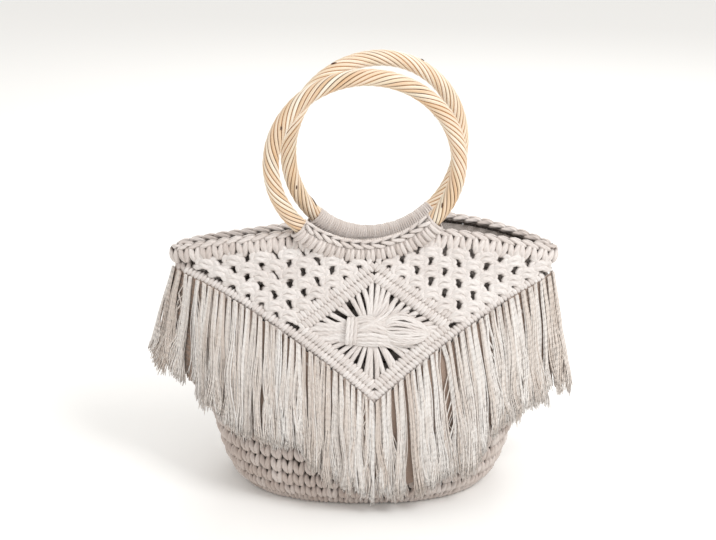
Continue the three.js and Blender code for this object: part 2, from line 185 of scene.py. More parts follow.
def tubes(paths, radii, normals, sides=8, tone=None, shade=1.0):
    """Cords along many paths at once. paths is (cords, stations, 3), and normals point out of
    what the cords lie on. The map runs along the cord in millimetres and once round it."""
    count, stations = paths.shape[:2]
    normals = np.broadcast_to(normals, paths.shape)
    radii = np.broadcast_to(radii, (count, stations))
    tone = rng.random(count) if tone is None else np.broadcast_to(tone, (count,))
    shade = np.broadcast_to(shade, (count, stations))
    tangent = unit(np.gradient(paths, axis=1))
    out = unit(normals - tangent * np.sum(normals * tangent, -1, keepdims=True))
    side = np.cross(tangent, out)
    angle = TURN * np.arange(sides) / sides
    way = side[:, :, None] * np.cos(angle)[:, None] + out[:, :, None] * np.sin(angle)[:, None]
    body = (paths[:, :, None] + way * radii[:, :, None, None]).reshape(-1, 3)
    ends = paths[:, [0, -1]].reshape(-1, 3)
    number = np.arange(count * stations * sides).reshape(count, stations, sides)
    rolled = np.roll(number, -1, axis=2)
    quads = np.stack([number[:, :-1], number[:, 1:], rolled[:, 1:], rolled[:, :-1]], -1)
    caps = len(body) + np.arange(count * 2).reshape(count, 2)
    start, end = (np.broadcast_to(caps[:, k:k + 1], (count, sides)) for k in (0, 1))
    first = np.stack([number[:, 0], rolled[:, 0], start], -1)
    final = np.stack([rolled[:, -1], number[:, -1], end], -1)
    triangles = np.concatenate([first, final]).reshape(-1, 3)
    length = lengths_along(paths, 1)
    v = np.arange(sides + 1) / sides
    u0 = np.broadcast_to(length[:, :-1, None], (count, stations - 1, sides))
    u1 = np.broadcast_to(length[:, 1:, None], u0.shape)
    v0, v1 = np.broadcast_to(v[:-1], u0.shape), np.broadcast_to(v[1:], u0.shape)
    quad_map = np.stack([u0, v0, u1, v0, u1, v1, u0, v1], -1).reshape(-1, 2)
    cap_map = np.zeros((triangles.size, 2))
    # Painted shade: each cord is darker on its sides than on the face that points out, and darker still
    # at its ends.
    facing = shade[:, :, None] * (SIDE_SHADE + (1 - SIDE_SHADE) * np.sin(angle))
    return {
        "points": np.concatenate([body, ends]),
        "quads": quads.reshape(-1, 4),
        "triangles": triangles,
        "map": np.concatenate([quad_map, cap_map]),
        "tone": np.concatenate([np.repeat(tone, stations * sides), np.repeat(tone, 2)]),
        "shade": np.concatenate([facing.ravel(), shade[:, [0, -1]].ravel() * END_SHADE]),
    }


def sheet_of(grid, shade=1.0, keep=None, tone=0.5):
    """Sheet through a grid of points, with the cells that keep leaves out missing."""
    rows, columns = grid.shape[:2]
    number = np.arange(rows * columns).reshape(rows, columns)
    quads = np.stack([number[:-1, :-1], number[:-1, 1:], number[1:, 1:], number[1:, :-1]], -1)
    along, upward = lengths_along(grid, 1), lengths_along(grid, 0)
    place = np.stack([along, upward], -1).reshape(-1, 2)
    quads = quads[keep] if keep is not None else quads.reshape(-1, 4)
    return {
        "points": grid.reshape(-1, 3),
        "quads": quads,
        "triangles": np.zeros((0, 3), int),
        "map": place[quads.ravel()],
        "tone": np.full(rows * columns, float(tone)),
        "shade": np.broadcast_to(shade, (rows, columns)).ravel(),
    }


def piece_of(name, parts, material, slot, *nodes):
    """One named piece from tubes and sheets, riding on the bag and standing for CAD nodes."""
    offset, quads, triangles, quad_maps, cap_maps = 0, [], [], [], []
    for part in parts:
        quads.append(part["quads"] + offset)
        triangles.append(part["triangles"] + offset)
        quad_maps.append(part["map"][: part["quads"].size])
        cap_maps.append(part["map"][part["quads"].size:])
        offset += len(part["points"])
    points = np.concatenate([part["points"] for part in parts])
    quads, triangles = np.concatenate(quads), np.concatenate(triangles)
    mesh = bpy.data.meshes.new(name)
    mesh.vertices.add(len(points))
    mesh.vertices.foreach_set("co", (points * MM).astype(np.float32).ravel())
    corners = np.concatenate([quads.ravel(), triangles.ravel()]).astype(np.int32)
    mesh.loops.add(len(corners))
    mesh.loops.foreach_set("vertex_index", corners)
    starts = np.concatenate([
        np.arange(len(quads)) * 4,
        len(quads) * 4 + np.arange(len(triangles)) * 3,
    ]).astype(np.int32)
    mesh.polygons.add(len(starts))
    mesh.polygons.foreach_set("loop_start", starts)
    mesh.update(calc_edges=True)
    mesh.polygons.foreach_set("use_smooth", np.ones(len(starts), bool))
    layer = mesh.uv_layers.new(name="cord_map")
    layer.data.foreach_set("uv", np.concatenate(quad_maps + cap_maps).astype(np.float32).ravel())
    for key in ("tone", "shade"):
        values = np.concatenate([part[key] for part in parts]).astype(np.float32)
        mesh.attributes.new(key, "FLOAT", "POINT").data.foreach_set("value", values)
    mesh.validate()
    mesh.materials.append(material)
    piece = bpy.data.objects.new(name, mesh)
    bpy.context.scene.collection.objects.link(piece)
    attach(piece, "root")
    if nodes:
        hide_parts(*nodes)
    return piece


def linear(hex_colour):
    """sRGB hex colour as linear RGBA."""
    values = [int(hex_colour[i:i + 2], 16) / 255 for i in (1, 3, 5)]
    return [v / 12.92 if v <= 0.04045 else ((v + 0.055) / 1.055) ** 2.4 for v in values] + [1]


def add(tree, kind, inputs=None, **settings):
    """A node with its settings, and its inputs as values or as links from other sockets. A node
    given as an input stands for its first output."""
    node = tree.nodes.new(kind)
    for name, value in settings.items():
        setattr(node, name, value)
    for socket, value in (inputs or {}).items():
        if isinstance(value, bpy.types.Node):
            value = value.outputs[0]
        if isinstance(value, bpy.types.NodeSocket):
            tree.links.new(value, node.inputs[socket])
        else:
            node.inputs[socket].default_value = value
    return node


def cotton(name, colours, twist, fibre, roughness, sheen, depth):
    """Cotton yarn: matt, with a soft bloom of loose fibres at the rim of every cord, plies that
    wind round it with painted shade in their grooves, and painted shadow brown where cords press
    together. colours are the painted shadow, the darkest cord and the palest. twist is the length
    of one turn of the plies, fibre the spacing of the fibres and depth the height of the plies,
    in millimetres."""
    material = bpy.data.materials.new(name)
    material.use_nodes = True
    tree = material.node_tree
    tree.nodes.clear()
    tone = add(tree, "ShaderNodeAttribute", attribute_name="tone").outputs["Fac"]
    shade = add(tree, "ShaderNodeAttribute", attribute_name="shade").outputs["Fac"]
    where = add(tree, "ShaderNodeUVMap", uv_map="cord_map")
    split = add(tree, "ShaderNodeSeparateXYZ", {0: where})
    object_place = add(tree, "ShaderNodeTexCoord").outputs["Object"]

    # Plies: a wave that runs slantwise, three times round the cord for each turn along it.
    turns = add(tree, "ShaderNodeMath", {0: split, 1: 1 / twist}, operation="MULTIPLY")
    plies = add(tree, "ShaderNodeMath", {0: split.outputs["Y"], 1: 3}, operation="MULTIPLY")
    phase = add(tree, "ShaderNodeMath", {0: turns, 1: plies}, operation="ADD")
    wave = add(tree, "ShaderNodeMath", {0: phase, 1: TURN}, operation="MULTIPLY")
    ply = add(tree, "ShaderNodeMath", {0: wave}, operation="SINE")
    ply = add(tree, "ShaderNodeMapRange", {"Value": ply, "From Min": -1, "From Max": 1})

    # Fibres: noise drawn out along the cord, with slow blotches over the whole bag.
    stretch = (0.25 / fibre, 9 / fibre, 1)
    drawn = add(tree, "ShaderNodeVectorMath", {0: where, 1: stretch}, operation="MULTIPLY")
    fibres = add(
        tree, "ShaderNodeTexNoise", {"Vector": drawn, "Scale": 1, "Detail": 3, "Roughness": 0.6}
    )
    blotch = add(tree, "ShaderNodeTexNoise", {"Vector": object_place, "Scale": 40, "Detail": 2})

    # Colour: the cord's own tone with the blotches, then fibres and the painted shade of the plies,
    # then the painted shadow.
    own = add(tree, "ShaderNodeMath", {0: tone, 1: 0.65}, operation="MULTIPLY")
    mixed = add(tree, "ShaderNodeMath", {0: blotch, 1: 0.35, 2: own}, operation="MULTIPLY_ADD")
    body = add(
        tree, "ShaderNodeMix", {"Factor": mixed, 6: linear(colours[1]), 7: linear(colours[2])},
        data_type="RGBA",
    )
    grain = add(tree, "ShaderNodeMapRange", {
        "Value": fibres, "From Min": 0.3, "From Max": 0.7, "To Min": 0.86, "To Max": 1.04,
    })
    # Painted shade: the cord is drawn darker in the grooves between its plies.
    ply_groove_shade = add(tree, "ShaderNodeMapRange", {"Value": ply, "To Min": 0.93, "To Max": 1.02})
    lit = add(tree, "ShaderNodeMath", {0: grain, 1: ply_groove_shade}, operation="MULTIPLY")
    fine = add(
        tree, "ShaderNodeVectorMath", {0: body.outputs[2], "Scale": lit}, operation="SCALE"
    )
    deep = add(
        tree, "ShaderNodeMapRange", {"Value": shade, "From Min": 0.12, "From Max": 0.72},
        interpolation_type="SMOOTHSTEP",
    )
    colour = add(
        tree, "ShaderNodeMix", {"Factor": deep, 6: linear(colours[0]), 7: fine}, data_type="RGBA"
    )
    height = add(tree, "ShaderNodeMath", {0: fibres, 1: 0.35, 2: ply}, operation="MULTIPLY_ADD")
    bump = add(
        tree, "ShaderNodeBump", {"Height": height, "Strength": 0.55, "Distance": depth * MM}
    )
    shader = add(tree, "ShaderNodeBsdfPrincipled", {
        "Base Color": colour.outputs[2],
        "Roughness": roughness,
        "IOR": 1.46,
        "Specular IOR Level": 0.25,
        "Sheen Weight": sheen,
        "Sheen Roughness": 0.6,
        "Sheen Tint": linear("#F6EFE6"),
        "Normal": bump,
    })
    add(tree, "ShaderNodeOutputMaterial", {"Surface": shader})
    return material


# Crochet cord: three plies of soft cotton, unbleached cream that reads pinkish grey in shade.
crochet_cord = cotton(
    "crochet_cotton_cord", ("#46362D", "#AC9B91", "#EAE3DF"), 9, 0.7, 0.92, 0.25, 0.7
)

# The V of the front wall is left open for the knotted panel. Its two edges bow a little.
PANEL_SHIFT = 8
PANEL_HALF_WIDTH = 140
PANEL_RISE = 83
PANEL_BOW = 0.4
PANEL_APEX_HEIGHT = 100
PANEL_REACH = 146


def edge_height(distance):
    """Height of the V's line at a distance to the side of its point."""
    s = np.abs(distance) / PANEL_HALF_WIDTH
    return PANEL_APEX_HEIGHT + PANEL_RISE * s * (1 + PANEL_BOW - PANEL_BOW * s)


def in_panel(points, lift):
    """Whether points of the front wall lie over the V's line, lifted by an amount."""
    distance = points[..., 0] - PANEL_SHIFT
    above = points[..., 2] > edge_height(distance) + lift
    return above & (np.abs(distance) < PANEL_REACH + 2) & (points[..., 1] < 0)


# The ring handles' frames: each ring lies in a sleeve that breaks the rim.
RING_RADIUS = 73.25
CANE_BUNDLE = 6.5
SLEEVE_RADIUS = 9.5
SLEEVE_REACH = math.radians(48)
RING_DROP = 10
# A stitch whose middle is nearer than this to a sleeve's line is inside the sleeve.
SLEEVE_BITE = SLEEVE_RADIUS - 2


def ring_frame(side, shift, lean, yaw):
    """Origin and axes of a ring: its width, the way through it and its height."""
    lean, yaw = math.radians(lean), math.radians(yaw)
    across = np.array([math.cos(yaw), math.sin(yaw), 0])
    level = np.array([-math.sin(yaw), math.cos(yaw), 0])
    upward = np.array([0, 0, 1])
    through = level * math.cos(lean) - upward * math.sin(lean)
    up = level * math.sin(lean) + upward * math.cos(lean)
    depth = side * (BELLY_HALF_DEPTH * WALL_LEVELS[-1, 2] - WALL / 2)
    foot = np.array([shift, depth, WALL_TOP + RIM_RISE - RING_DROP])
    return {"origin": foot + up * RING_RADIUS, "across": across, "through": through, "up": up}


front_ring = ring_frame(-1, 0, -10.4, 2.8)
back_ring = ring_frame(1, BACK_RING_SHIFT, 0.6, 15.6)


def ring_line(ring, angle, radius=RING_RADIUS):
    """Points of a ring at angles from its lowest point, and the ways out of the ring there."""
    outward = (
        np.sin(angle)[..., None] * ring["across"] - np.cos(angle)[..., None] * ring["up"]
    )
    return ring["origin"] + outward * radius, outward


def near_sleeve(points, clear):
    """Whether points lie within a distance of either sleeve's line."""
    angle = np.linspace(-SLEEVE_REACH, SLEEVE_REACH, 60)
    lines = np.concatenate([ring_line(ring, angle)[0] for ring in (front_ring, back_ring)])
    away = np.linalg.norm(points[..., None, :] - lines, axis=-1).min(axis=-1)
    return away < clear


def over_sleeve(points):
    """Whether points of the wall's top stand inside a ring's circle, just over its sleeve."""
    within = [
        np.linalg.norm(points - ring["origin"], axis=-1) < RING_RADIUS
        for ring in (front_ring, back_ring)
    ]
    return (within[0] | within[1]) & near_sleeve(points, SLEEVE_RADIUS + 3)


# Stitches of the wall: their spacing, how deep the legs are sunk, how far each row is set on
# round the bag, and how far the last row runs up under the braid.
STITCH_PITCH = 10.2
ROW_PITCH = 12.6
LEG_SINK = 1.9
STITCH_DRIFT = 0.18
RIM_TUCK = 5
# One leg of a V: across as a share of the stitch, up as a share of the row, out and radius.
V_LEG = np.array([
    (0.07, -0.1, -2.2, 1.3),
    (0.11, 0.06, 0.4, 2.0),
    (0.17, 0.27, 1.8, 2.5),
    (0.235, 0.5, 2.2, 2.6),
    (0.29, 0.72, 1.6, 2.3),
    (0.32, 0.9, 0, 1.8),
    (0.33, 1.04, -2.4, 1.2),
])
# The last row stands proud of the rim's foot, under the braid.
RIM_LEG_OUT = np.array([-0.6, 2.0, 3.2, 3.7, 3.6, 3.0, 1.6])
RIM_LEG_WIDTH = 1.12
V_SHADE = np.array([0.15, 0.6, 0.95, 1, 0.95, 0.6, 0.15])

wall_rows = round(WALL_LENGTH / ROW_PITCH)
row_span = (1 + RIM_TUCK / WALL_LENGTH) / wall_rows
row_stitches = round(BELLY_ROUND / STITCH_PITCH)
row_number, stitch_number = np.meshgrid(
    np.arange(wall_rows), np.arange(row_stitches), indexing="ij"
)
stitch_around = ((stitch_number + 0.5 + STITCH_DRIFT * row_number) / row_stitches).ravel()
stitch_row = row_number.ravel().astype(float)
centre = even_wall(np.mod(stitch_around, 1), (stitch_row + 0.5) * row_span)
top_row = stitch_row == wall_rows - 1
wanted = ~in_panel(centre, -1) | top_row
wanted &= ~near_sleeve(centre, SLEEVE_BITE) & ~over_sleeve(centre)
stitch_around, stitch_row, centre = stitch_around[wanted], stitch_row[wanted], centre[wanted]


def v_stitches(around, row, place):
    """Both legs of V stitches at shares round the wall and rows up it."""
    size = rng.normal(1, 0.05, (len(around), 1))
    push = rng.normal(0, 0.03, (len(around), 2))
    # Painted light: the cord is drawn paler towards the mouth and a little paler at the right, as if
    # lit from above right, so that it is darkest low at the left.
    light = place[:, 0] / MOUTH_HALF_WIDTH * 0.2 + (place[:, 2] / WALL_TOP) ** 2 * 0.6
    tone = np.clip(rng.normal(0.25, 0.15, len(around)) + light, 0, 1)
    last = (row == wall_rows - 1)[:, None]
    out = np.where(last, RIM_LEG_OUT, V_LEG[:, 2]) - LEG_SINK
    size = np.where(last, RIM_LEG_WIDTH, 1) * size
    legs = []
    for hand in (-1, 1):
        across = (hand * V_LEG[:, 0] + push[:, :1]) / row_stitches
        up = (row[:, None] + V_LEG[:, 1] + push[:, 1:]) * row_span
        points, normals = on_wall(around[:, None] + across, up, out)
        points[..., 2] = np.maximum(points[..., 2], V_LEG[:, 3])
        legs.append(tubes(points, V_LEG[:, 3] * size, normals, 7, tone, V_SHADE))
    return legs


for name, part in (
    ("wall_stitches_left", centre[:, 0] < 0),
    ("wall_stitches_right", centre[:, 0] >= 0),
):
    stitches = v_stitches(stitch_around[part], stitch_row[part], centre[part])
    piece_of(name, stitches, crochet_cord, "crochet_cord", "basket_body")

# Inner face of the basket and its base. It is the same cord seen from behind, where each row
# shows as a low ridge of short bars, and the base is worked flat in oval rounds.
# Its shape is two sheets, the wall's own thickness apart, closed by the base: the inner one has
# the ridges, and the outer one is a plain sheet of painted shade in the gaps between the stitches.

SHEET_COLUMNS = 252
SHEET_STEPS = 6
BACKING_SINK = 3.6
GAP_SHADE = 0.22
BASE_THICKNESS = 6
BASE_ROUNDS = 5
RIDGE = 0.7
BASE_RIDGE = 0.6

grid_up = np.linspace(0, 1, wall_rows * SHEET_STEPS + 1)[:, None]
grid_around = np.linspace(0, 1, SHEET_COLUMNS + 1)[None, :]
bars = np.cos(TURN * grid_around * row_stitches) * np.sin(TURN * grid_up * wall_rows)
ridge = -np.cos(TURN * grid_up * wall_rows) + 0.6 * bars
outside, _ = on_wall(grid_around, grid_up, -BACKING_SINK)
inside, _ = on_wall(grid_around, grid_up, -WALL - RIDGE * ridge)
middle = (outside[:-1, :-1] + outside[1:, 1:]) / 2
open_cell = in_panel(middle, 0) | near_sleeve(middle, SLEEVE_BITE) | over_sleeve(middle)
# The outer sheet is painted shade, dark in the gaps between the stitches, and the inner one has painted
# light on its ridges and painted shade between them.
inside_and_gap_shade = [
    sheet_of(outside, GAP_SHADE, ~open_cell),
    sheet_of(inside[:, ::-1], 0.7 + 0.25 * ridge[:, ::-1] / 1.6, ~open_cell[:, ::-1]),
]
ring_share = np.linspace(0, 1, 31)[:, None]
base_ridge = BASE_RIDGE * np.cos(TURN * BASE_ROUNDS * ring_share)
for height, flip in ((BASE_RIDGE, 1), (BASE_THICKNESS, -1)):
    disc = ring_share[..., None] * outside[0]
    disc[..., 2] = height - flip * base_ridge
    inside_and_gap_shade.append(sheet_of(disc[:, ::-flip], 0.75))
piece_of("wall_inside_and_gap_shade", inside_and_gap_shade, crochet_cord, "crochet_cord")

# Braid along the rim. The real rim is the last round of crochet, whose loops lie over on their
# sides as a chain of long drops, seen from above as two strands that meet along the middle.
# A core of cord runs under the chain, from one ring's sleeve round the end to the other's.

BRAID_SEAT = 0.7
CORE_RISE = 2.8
CORE_RADIUS = 2.0
CHAIN_PITCH = 10.4
# One loop of the chain: along as a share of the pitch, across, up and radius.
CHAIN_LOOP = np.array([
    (-0.42, 0.3, 4.8, 1.1),
    (-0.1, 1.2, 5.9, 1.65),
    (0.25, 2.4, 5.8, 1.95),
    (0.6, 3.3, 4.8, 2.0),
    (0.95, 3.2, 3.5, 1.8),
    (1.22, 2.2, 2.6, 1.2),
])
CHAIN_SHADE = np.array([0.35, 0.85, 1, 1, 0.7, 0.3])


def line_places(line, values, place):
    """Values given at the points of a line, at lengths along it."""
    length = lengths_along(line, 0)
    return np.stack([np.interp(place, length, column) for column in values.T], -1)


def chain(line, across, up, pitch, size=1.0):
    """Chain stitches along a line, with the ways across it and up from it at its points."""
    total = lengths_along(line, 0)[-1]
    count = max(int(total / pitch), 1)
    pitch = total / count
    place = (np.arange(count)[:, None] + 0.15 + CHAIN_LOOP[:, 0] * 0.9) * pitch
    place = np.clip(place, 0, total)
    foot, side, top = (line_places(line, values, place) for values in (line, across, up))
    loops = []
    tone = np.clip(rng.normal(0.85, 0.15, count), 0, 1)
    wander = rng.normal(0, 0.25, (count, 1, 1))
    for hand in (-1, 1):
        points = foot + side * (hand * CHAIN_LOOP[:, 1] * size)[:, None]
        points = points + top * (CHAIN_LOOP[:, 2] * size)[:, None] + side * wander
        normals = unit(side * hand + top)
        radii = CHAIN_LOOP[:, 3] * size * rng.normal(1, 0.04, (count, 1))
        loops.append(tubes(points, radii, normals, 8, tone, CHAIN_SHADE))
    return loops


RIM_START = RING_RADIUS * math.sin(SLEEVE_REACH) - SLEEVE_RADIUS
rim_turn = math.acos((RIM_START / MOUTH_HALF_WIDTH) ** (WALL_LEVELS[-1, 3] / 2))


def rim_line(side):
    """Foot of the rim round one end, with the level way out of the bag."""
    angle = np.linspace(-rim_turn, rim_turn, 181)
    around = angle if side > 0 else math.pi - angle
    face = wall_skin(around, 1.0)
    along = np.gradient(face, axis=0) * (1 if side > 0 else -1)
    outward = unit(np.stack([along[:, 1], -along[:, 0], 0 * along[:, 0]], -1))
    foot = face - outward * WALL / 2
    free = ~near_sleeve(foot + [0, 0, 5], SLEEVE_RADIUS + 0.6)
    return foot[free], outward[free]


for name, side in (("rim_braid_left", -1), ("rim_braid_right", 1)):
    foot, outward = rim_line(side)
    upward = np.broadcast_to([0.0, 0.0, 1.0], foot.shape)
    core = foot + [0, 0, CORE_RISE]
    # The core is drawn with painted shade, a little darker than the chain over it.
    core = tubes(core[None, ::2], CORE_RADIUS, upward[None, ::2], 10, 0.8, 0.6)
    braid = chain(foot + [0, 0, BRAID_SEAT], outward, upward, CHAIN_PITCH)
    piece_of(name, [core] + braid, crochet_cord, "crochet_cord",
             "rim_left" if side < 0 else "rim_right")

# Ring handles. Each is a hoop of peeled rattan: eleven thin canes laid side by side and
# twisted together like a rope, then varnished, so that the canes run slantwise round it.
# The canes' cut ends show as small dark nicks where they are tucked under the next turn.

CANES = 11
CANE_RADIUS = 1.62
CANE_TURNS = 6
CANE_LAY = CANE_BUNDLE - CANE_RADIUS
CANE_CORE = CANE_LAY - 0.7


def rattan(name, colours, grain_width, coat):
    """Peeled rattan cane: pale straw with long darker streaks, a soft satin varnish that
    gives a narrow shine, and painted shade, honey brown, in the seams between the canes. colours
    are the painted seam shade, the dark and the pale streak, honey for the warmest canes, and the
    dark brown of the nicks, which also darkens patches of the seam shade and paints the core as shade."""
    material = bpy.data.materials.new(name)
    material.use_nodes = True
    tree = material.node_tree
    tree.nodes.clear()
    tone = add(tree, "ShaderNodeAttribute", attribute_name="tone").outputs["Fac"]
    shade = add(tree, "ShaderNodeAttribute", attribute_name="shade").outputs["Fac"]
    where = add(tree, "ShaderNodeUVMap", uv_map="cord_map")
    object_place = add(tree, "ShaderNodeTexCoord").outputs["Object"]

    # Streaks: noise drawn far out along the cane, from its own part of the noise for each.
    stretch = (0.02 / grain_width, 6 / grain_width, 1)
    drawn = add(tree, "ShaderNodeVectorMath", {0: where, 1: stretch}, operation="MULTIPLY")
    shift = add(tree, "ShaderNodeMath", {0: tone, 1: 40}, operation="MULTIPLY")
    start = add(tree, "ShaderNodeCombineXYZ", {0: shift, 2: shift})
    place = add(tree, "ShaderNodeVectorMath", {0: drawn, 1: start}, operation="ADD")
    grain = add(tree, "ShaderNodeTexNoise", {"Vector": place, "Scale": 1, "Detail": 4})
    broad = add(tree, "ShaderNodeTexNoise", {"Vector": object_place, "Scale": 26, "Detail": 2})
    body = add(tree, "ShaderNodeValToRGB", {0: grain})
    for step, position, colour in zip(body.color_ramp.elements, (0.32, 0.62), colours[1:3]):
        step.position = position
        step.color = linear(colour)
    warm = add(tree, "ShaderNodeMath", {0: tone, 1: broad}, operation="MULTIPLY")
    tint = add(
        tree, "ShaderNodeMix", {"Factor": warm, 6: body, 7: linear(colours[3])}, data_type="RGBA"
    )

    # Seams: painted shade, honey brown on the sides of the canes where they meet, darker in patches;
    # the nicks are darkest brown, and so is the core, as painted shade.
    deep = add(
        tree, "ShaderNodeMapRange", {"Value": shade, "From Min": 0.74, "From Max": 0.94},
        interpolation_type="SMOOTHSTEP",
    )
    patch = add(tree, "ShaderNodeMapRange", {"Value": broad, "From Min": 0.47, "From Max": 0.62})
    nick_and_core_shade = add(tree, "ShaderNodeMath", {0: shade, 1: 0.25}, operation="LESS_THAN")
    dark = add(tree, "ShaderNodeMath", {0: patch, 1: nick_and_core_shade}, operation="MAXIMUM")
    seam_shade = add(
        tree, "ShaderNodeMix", {"Factor": dark, 6: linear(colours[0]), 7: linear(colours[4])},
        data_type="RGBA",
    )
    colour = add(
        tree, "ShaderNodeMix", {"Factor": deep, 6: seam_shade.outputs[2], 7: tint.outputs[2]},
        data_type="RGBA",
    )
    bump = add(tree, "ShaderNodeBump", {"Height": grain, "Strength": 0.3, "Distance": 0.3 * MM})
    shader = add(tree, "ShaderNodeBsdfPrincipled", {
        "Base Color": colour.outputs[2],
        "Roughness": 0.46,
        "IOR": 1.5,
        "Coat Weight": coat,
        "Coat Roughness": 0.25,
        "Normal": bump,
    })
    add(tree, "ShaderNodeOutputMaterial", {"Surface": shader})
    return material


varnished_rattan = rattan(
    "varnished_rattan_cane", ("#B0702F", "#DECBAC", "#F2E8D8", "#CD9450", "#4A2814"), 1.1, 0.2
)


def hoop(ring, hand, nicks):
    """Canes twisted round a ring's line, as closed turns that end where they start, with a core
    painted dark as the shade between the canes, and the nicks of cut ends. hand is the way that
    they twist."""
    angle = np.linspace(0, TURN, 241)
    lines, ways = [], []
    line, outward = ring_line(ring, angle)
    for cane in range(CANES):
        phase = hand * CANE_TURNS * angle + TURN * cane / CANES
        way = np.cos(phase)[:, None] * outward + np.sin(phase)[:, None] * ring["through"]
        lines.append(line + way * CANE_LAY)
        ways.append(way)
    lines, ways = np.array(lines), np.array(ways)
    canes = tubes(lines, CANE_RADIUS, ways, 8, rng.random(CANES))
    # The core is painted dark, as shade that shows in the gaps between the canes.
    core = tubes(line[None], CANE_CORE, outward[None], 8, 0.2, 0.2)
    parts = [canes, core]
    for turn, around, length in nicks:
        start = math.radians(turn)
        angle = start + np.linspace(0, length / RING_RADIUS, 5)
        phase = math.radians(around) + hand * CANE_TURNS * (angle - start)
        line, outward = ring_line(ring, angle)
        way = np.cos(phase)[:, None] * outward + np.sin(phase)[:, None] * ring["through"]
        cut = (line + way * CANE_BUNDLE)[None]
        parts.append(tubes(cut, NICK_RADIUS * NICK_TAPER, way[None], 6, 0.0, 0.1))
    return parts


# Cut ends of canes: angle along the ring from its lowest point, angle round it, and length.
NICK_RADIUS = 0.55
NICK_TAPER = np.array([0.3, 1, 1, 1, 0.3])
FRONT_NICKS = [(-163, 165, 7), (-158, 170, 4), (-120, -80, 3), (127, 178, 5), (60, -120, 4)]
BACK_NICKS = [(-155, -25, 4), (150, -15, 3), (-56, 175, 9), (-70, -95, 3)]
for name, ring, node, hand, nicks in (
    ("rattan_ring_front", front_ring, "ring_front", -1, FRONT_NICKS),
    ("rattan_ring_back", back_ring, "ring_back", 1, BACK_NICKS),
):
    piece_of(name, hoop(ring, hand, nicks), varnished_rattan, "rattan", node)

# Sleeves that hold the rings. The real ones are crocheted round the lowest part of each ring:
# cord lies round the cane in close turns, and on the front a row of chain loops runs along
# the top with long upright stitches under it, which join it to the bag.

WRAP_PITCH = 2.0
WRAP_RADIUS = 1.4
POST_PITCH = 4.1
SLEEVE_DROP = 1.9
WRAP_REACH = SLEEVE_RADIUS - 0.5
WRAP_LAY = WRAP_REACH - WRAP_RADIUS
SLEEVE_CHAIN_PITCH = 8.2
SLEEVE_CHAIN_SEAT = 6.0
# One upright stitch from the chain down to the bag: out, radius and shade.
POST = np.array([
    (-0.6, 1.3, 0.4),
    (0.9, 1.75, 0.85),
    (1.7, 1.95, 1),
    (2.1, 2.0, 1),
    (2.1, 1.95, 1),
    (1.6, 1.75, 0.8),
    (0.2, 1.3, 0.3),
])


def sleeve_point(ring, along, around, distance):
    """Point of a sleeve by its angle along the ring and round the cane, with the way out."""
    line, outward = ring_line(ring, along)
    way = np.cos(around)[..., None] * outward + np.sin(around)[..., None] * ring["through"]
    return line + outward * SLEEVE_DROP + way * np.asarray(distance)[..., None], way


def sleeve_wraps(ring, left, right):
    """Close turns of cord round a sleeve, between two angles along the ring."""
    count = round((right - left) * RING_RADIUS / WRAP_PITCH)
    along = np.linspace(left, right, count)[:, None]
    around = np.linspace(0, TURN, 19)[None, :]
    lean = 0.4 * WRAP_PITCH / RING_RADIUS * np.sin(around / 2)
    uneven = rng.normal(0, 0.12, (count, 1))
    along, around = np.broadcast_arrays(along + lean, around)
    points, ways = sleeve_point(ring, along, around, WRAP_LAY + uneven)
    line, outward = ring_line(ring, np.linspace(left, right, 25))
    line = line + outward * SLEEVE_DROP
    # The core under the wraps is drawn with painted shade, a little darker.
    core = tubes(line[None], WRAP_LAY - 0.3, outward[None], 14, 0.6, 0.6)
    tone = np.clip(rng.normal(0.8, 0.1, count), 0, 1)
    return [tubes(points, WRAP_RADIUS + 0.1, ways, 6, tone), core]


def sleeve_stitches(ring, side, left, right, crest, size):
    """Chain loops along a sleeve at an angle round it, and long upright stitches under them."""
    along = np.linspace(left, right, 121)
    line, way = sleeve_point(ring, along, side * crest, SLEEVE_CHAIN_SEAT)
    over = np.cross(way, unit(np.gradient(line, axis=0)))
    loops = chain(line, over, way, SLEEVE_CHAIN_PITCH, size)
    count = round((right - left) * RING_RADIUS / POST_PITCH)
    place = np.linspace(left + 0.03, right - 0.03, count)
    place = place + np.where(np.arange(count) % 2, -0.09, 0.09) * POST_PITCH / RING_RADIUS
    down = np.linspace(crest - 0.25, 0.45, len(POST)) * side
    place, down = np.broadcast_arrays(place[:, None], down)
    points, ways = sleeve_point(ring, place, down, WRAP_LAY + POST[:, 0])
    return loops + [tubes(points, POST[:, 1], ways, 7, rng.uniform(0.5, 1, count), POST[:, 2])]


# Each sleeve: its side, the angles along the ring where it ends, and where its chain lies.
for name, ring, side, left, right, crest, size, node in (
    ("sleeve_front", front_ring, -1, -44, 48, 146, 0.8, "casing_front"),
    ("sleeve_back", back_ring, 1, -44, 40, 105, 0.6, "casing_back"),
):
    left, right, crest = math.radians(left), math.radians(right), math.radians(crest)
    wraps = sleeve_wraps(ring, left, right)
    stitches = sleeve_stitches(ring, side, left, right, crest, size)
    piece_of(name, wraps + stitches, crochet_cord, "crochet_cord", node)

# Knotted net of the front panel. It is tied from doubled cotton cord in alternating square
# knots, so that each knot sits between four small diamond-shaped gaps, and the cords run
# slantwise from knot to knot. Dark shows through the gaps from inside the bag.

RIB_WIDTH = 6.2
DIAMOND_HALF_WIDTH = 59
DIAMOND_TOP = 189.5
GAP_COLUMN_PITCH = 11.3
GAP_ROW_PITCH = 7.8
GAP_FIRST_ROW = 18
GAP_REACH = 2.6
CLEARANCE = 0.3
NET_SINK = 1.6
NET_SHADE = 0.4

knotted_cord = cotton(
    "knotted_cotton_cord", ("#4C3D34", "#D3CAC5", "#ECE7E4"), 7, 0.6, 0.9, 0.25, 0.5
)


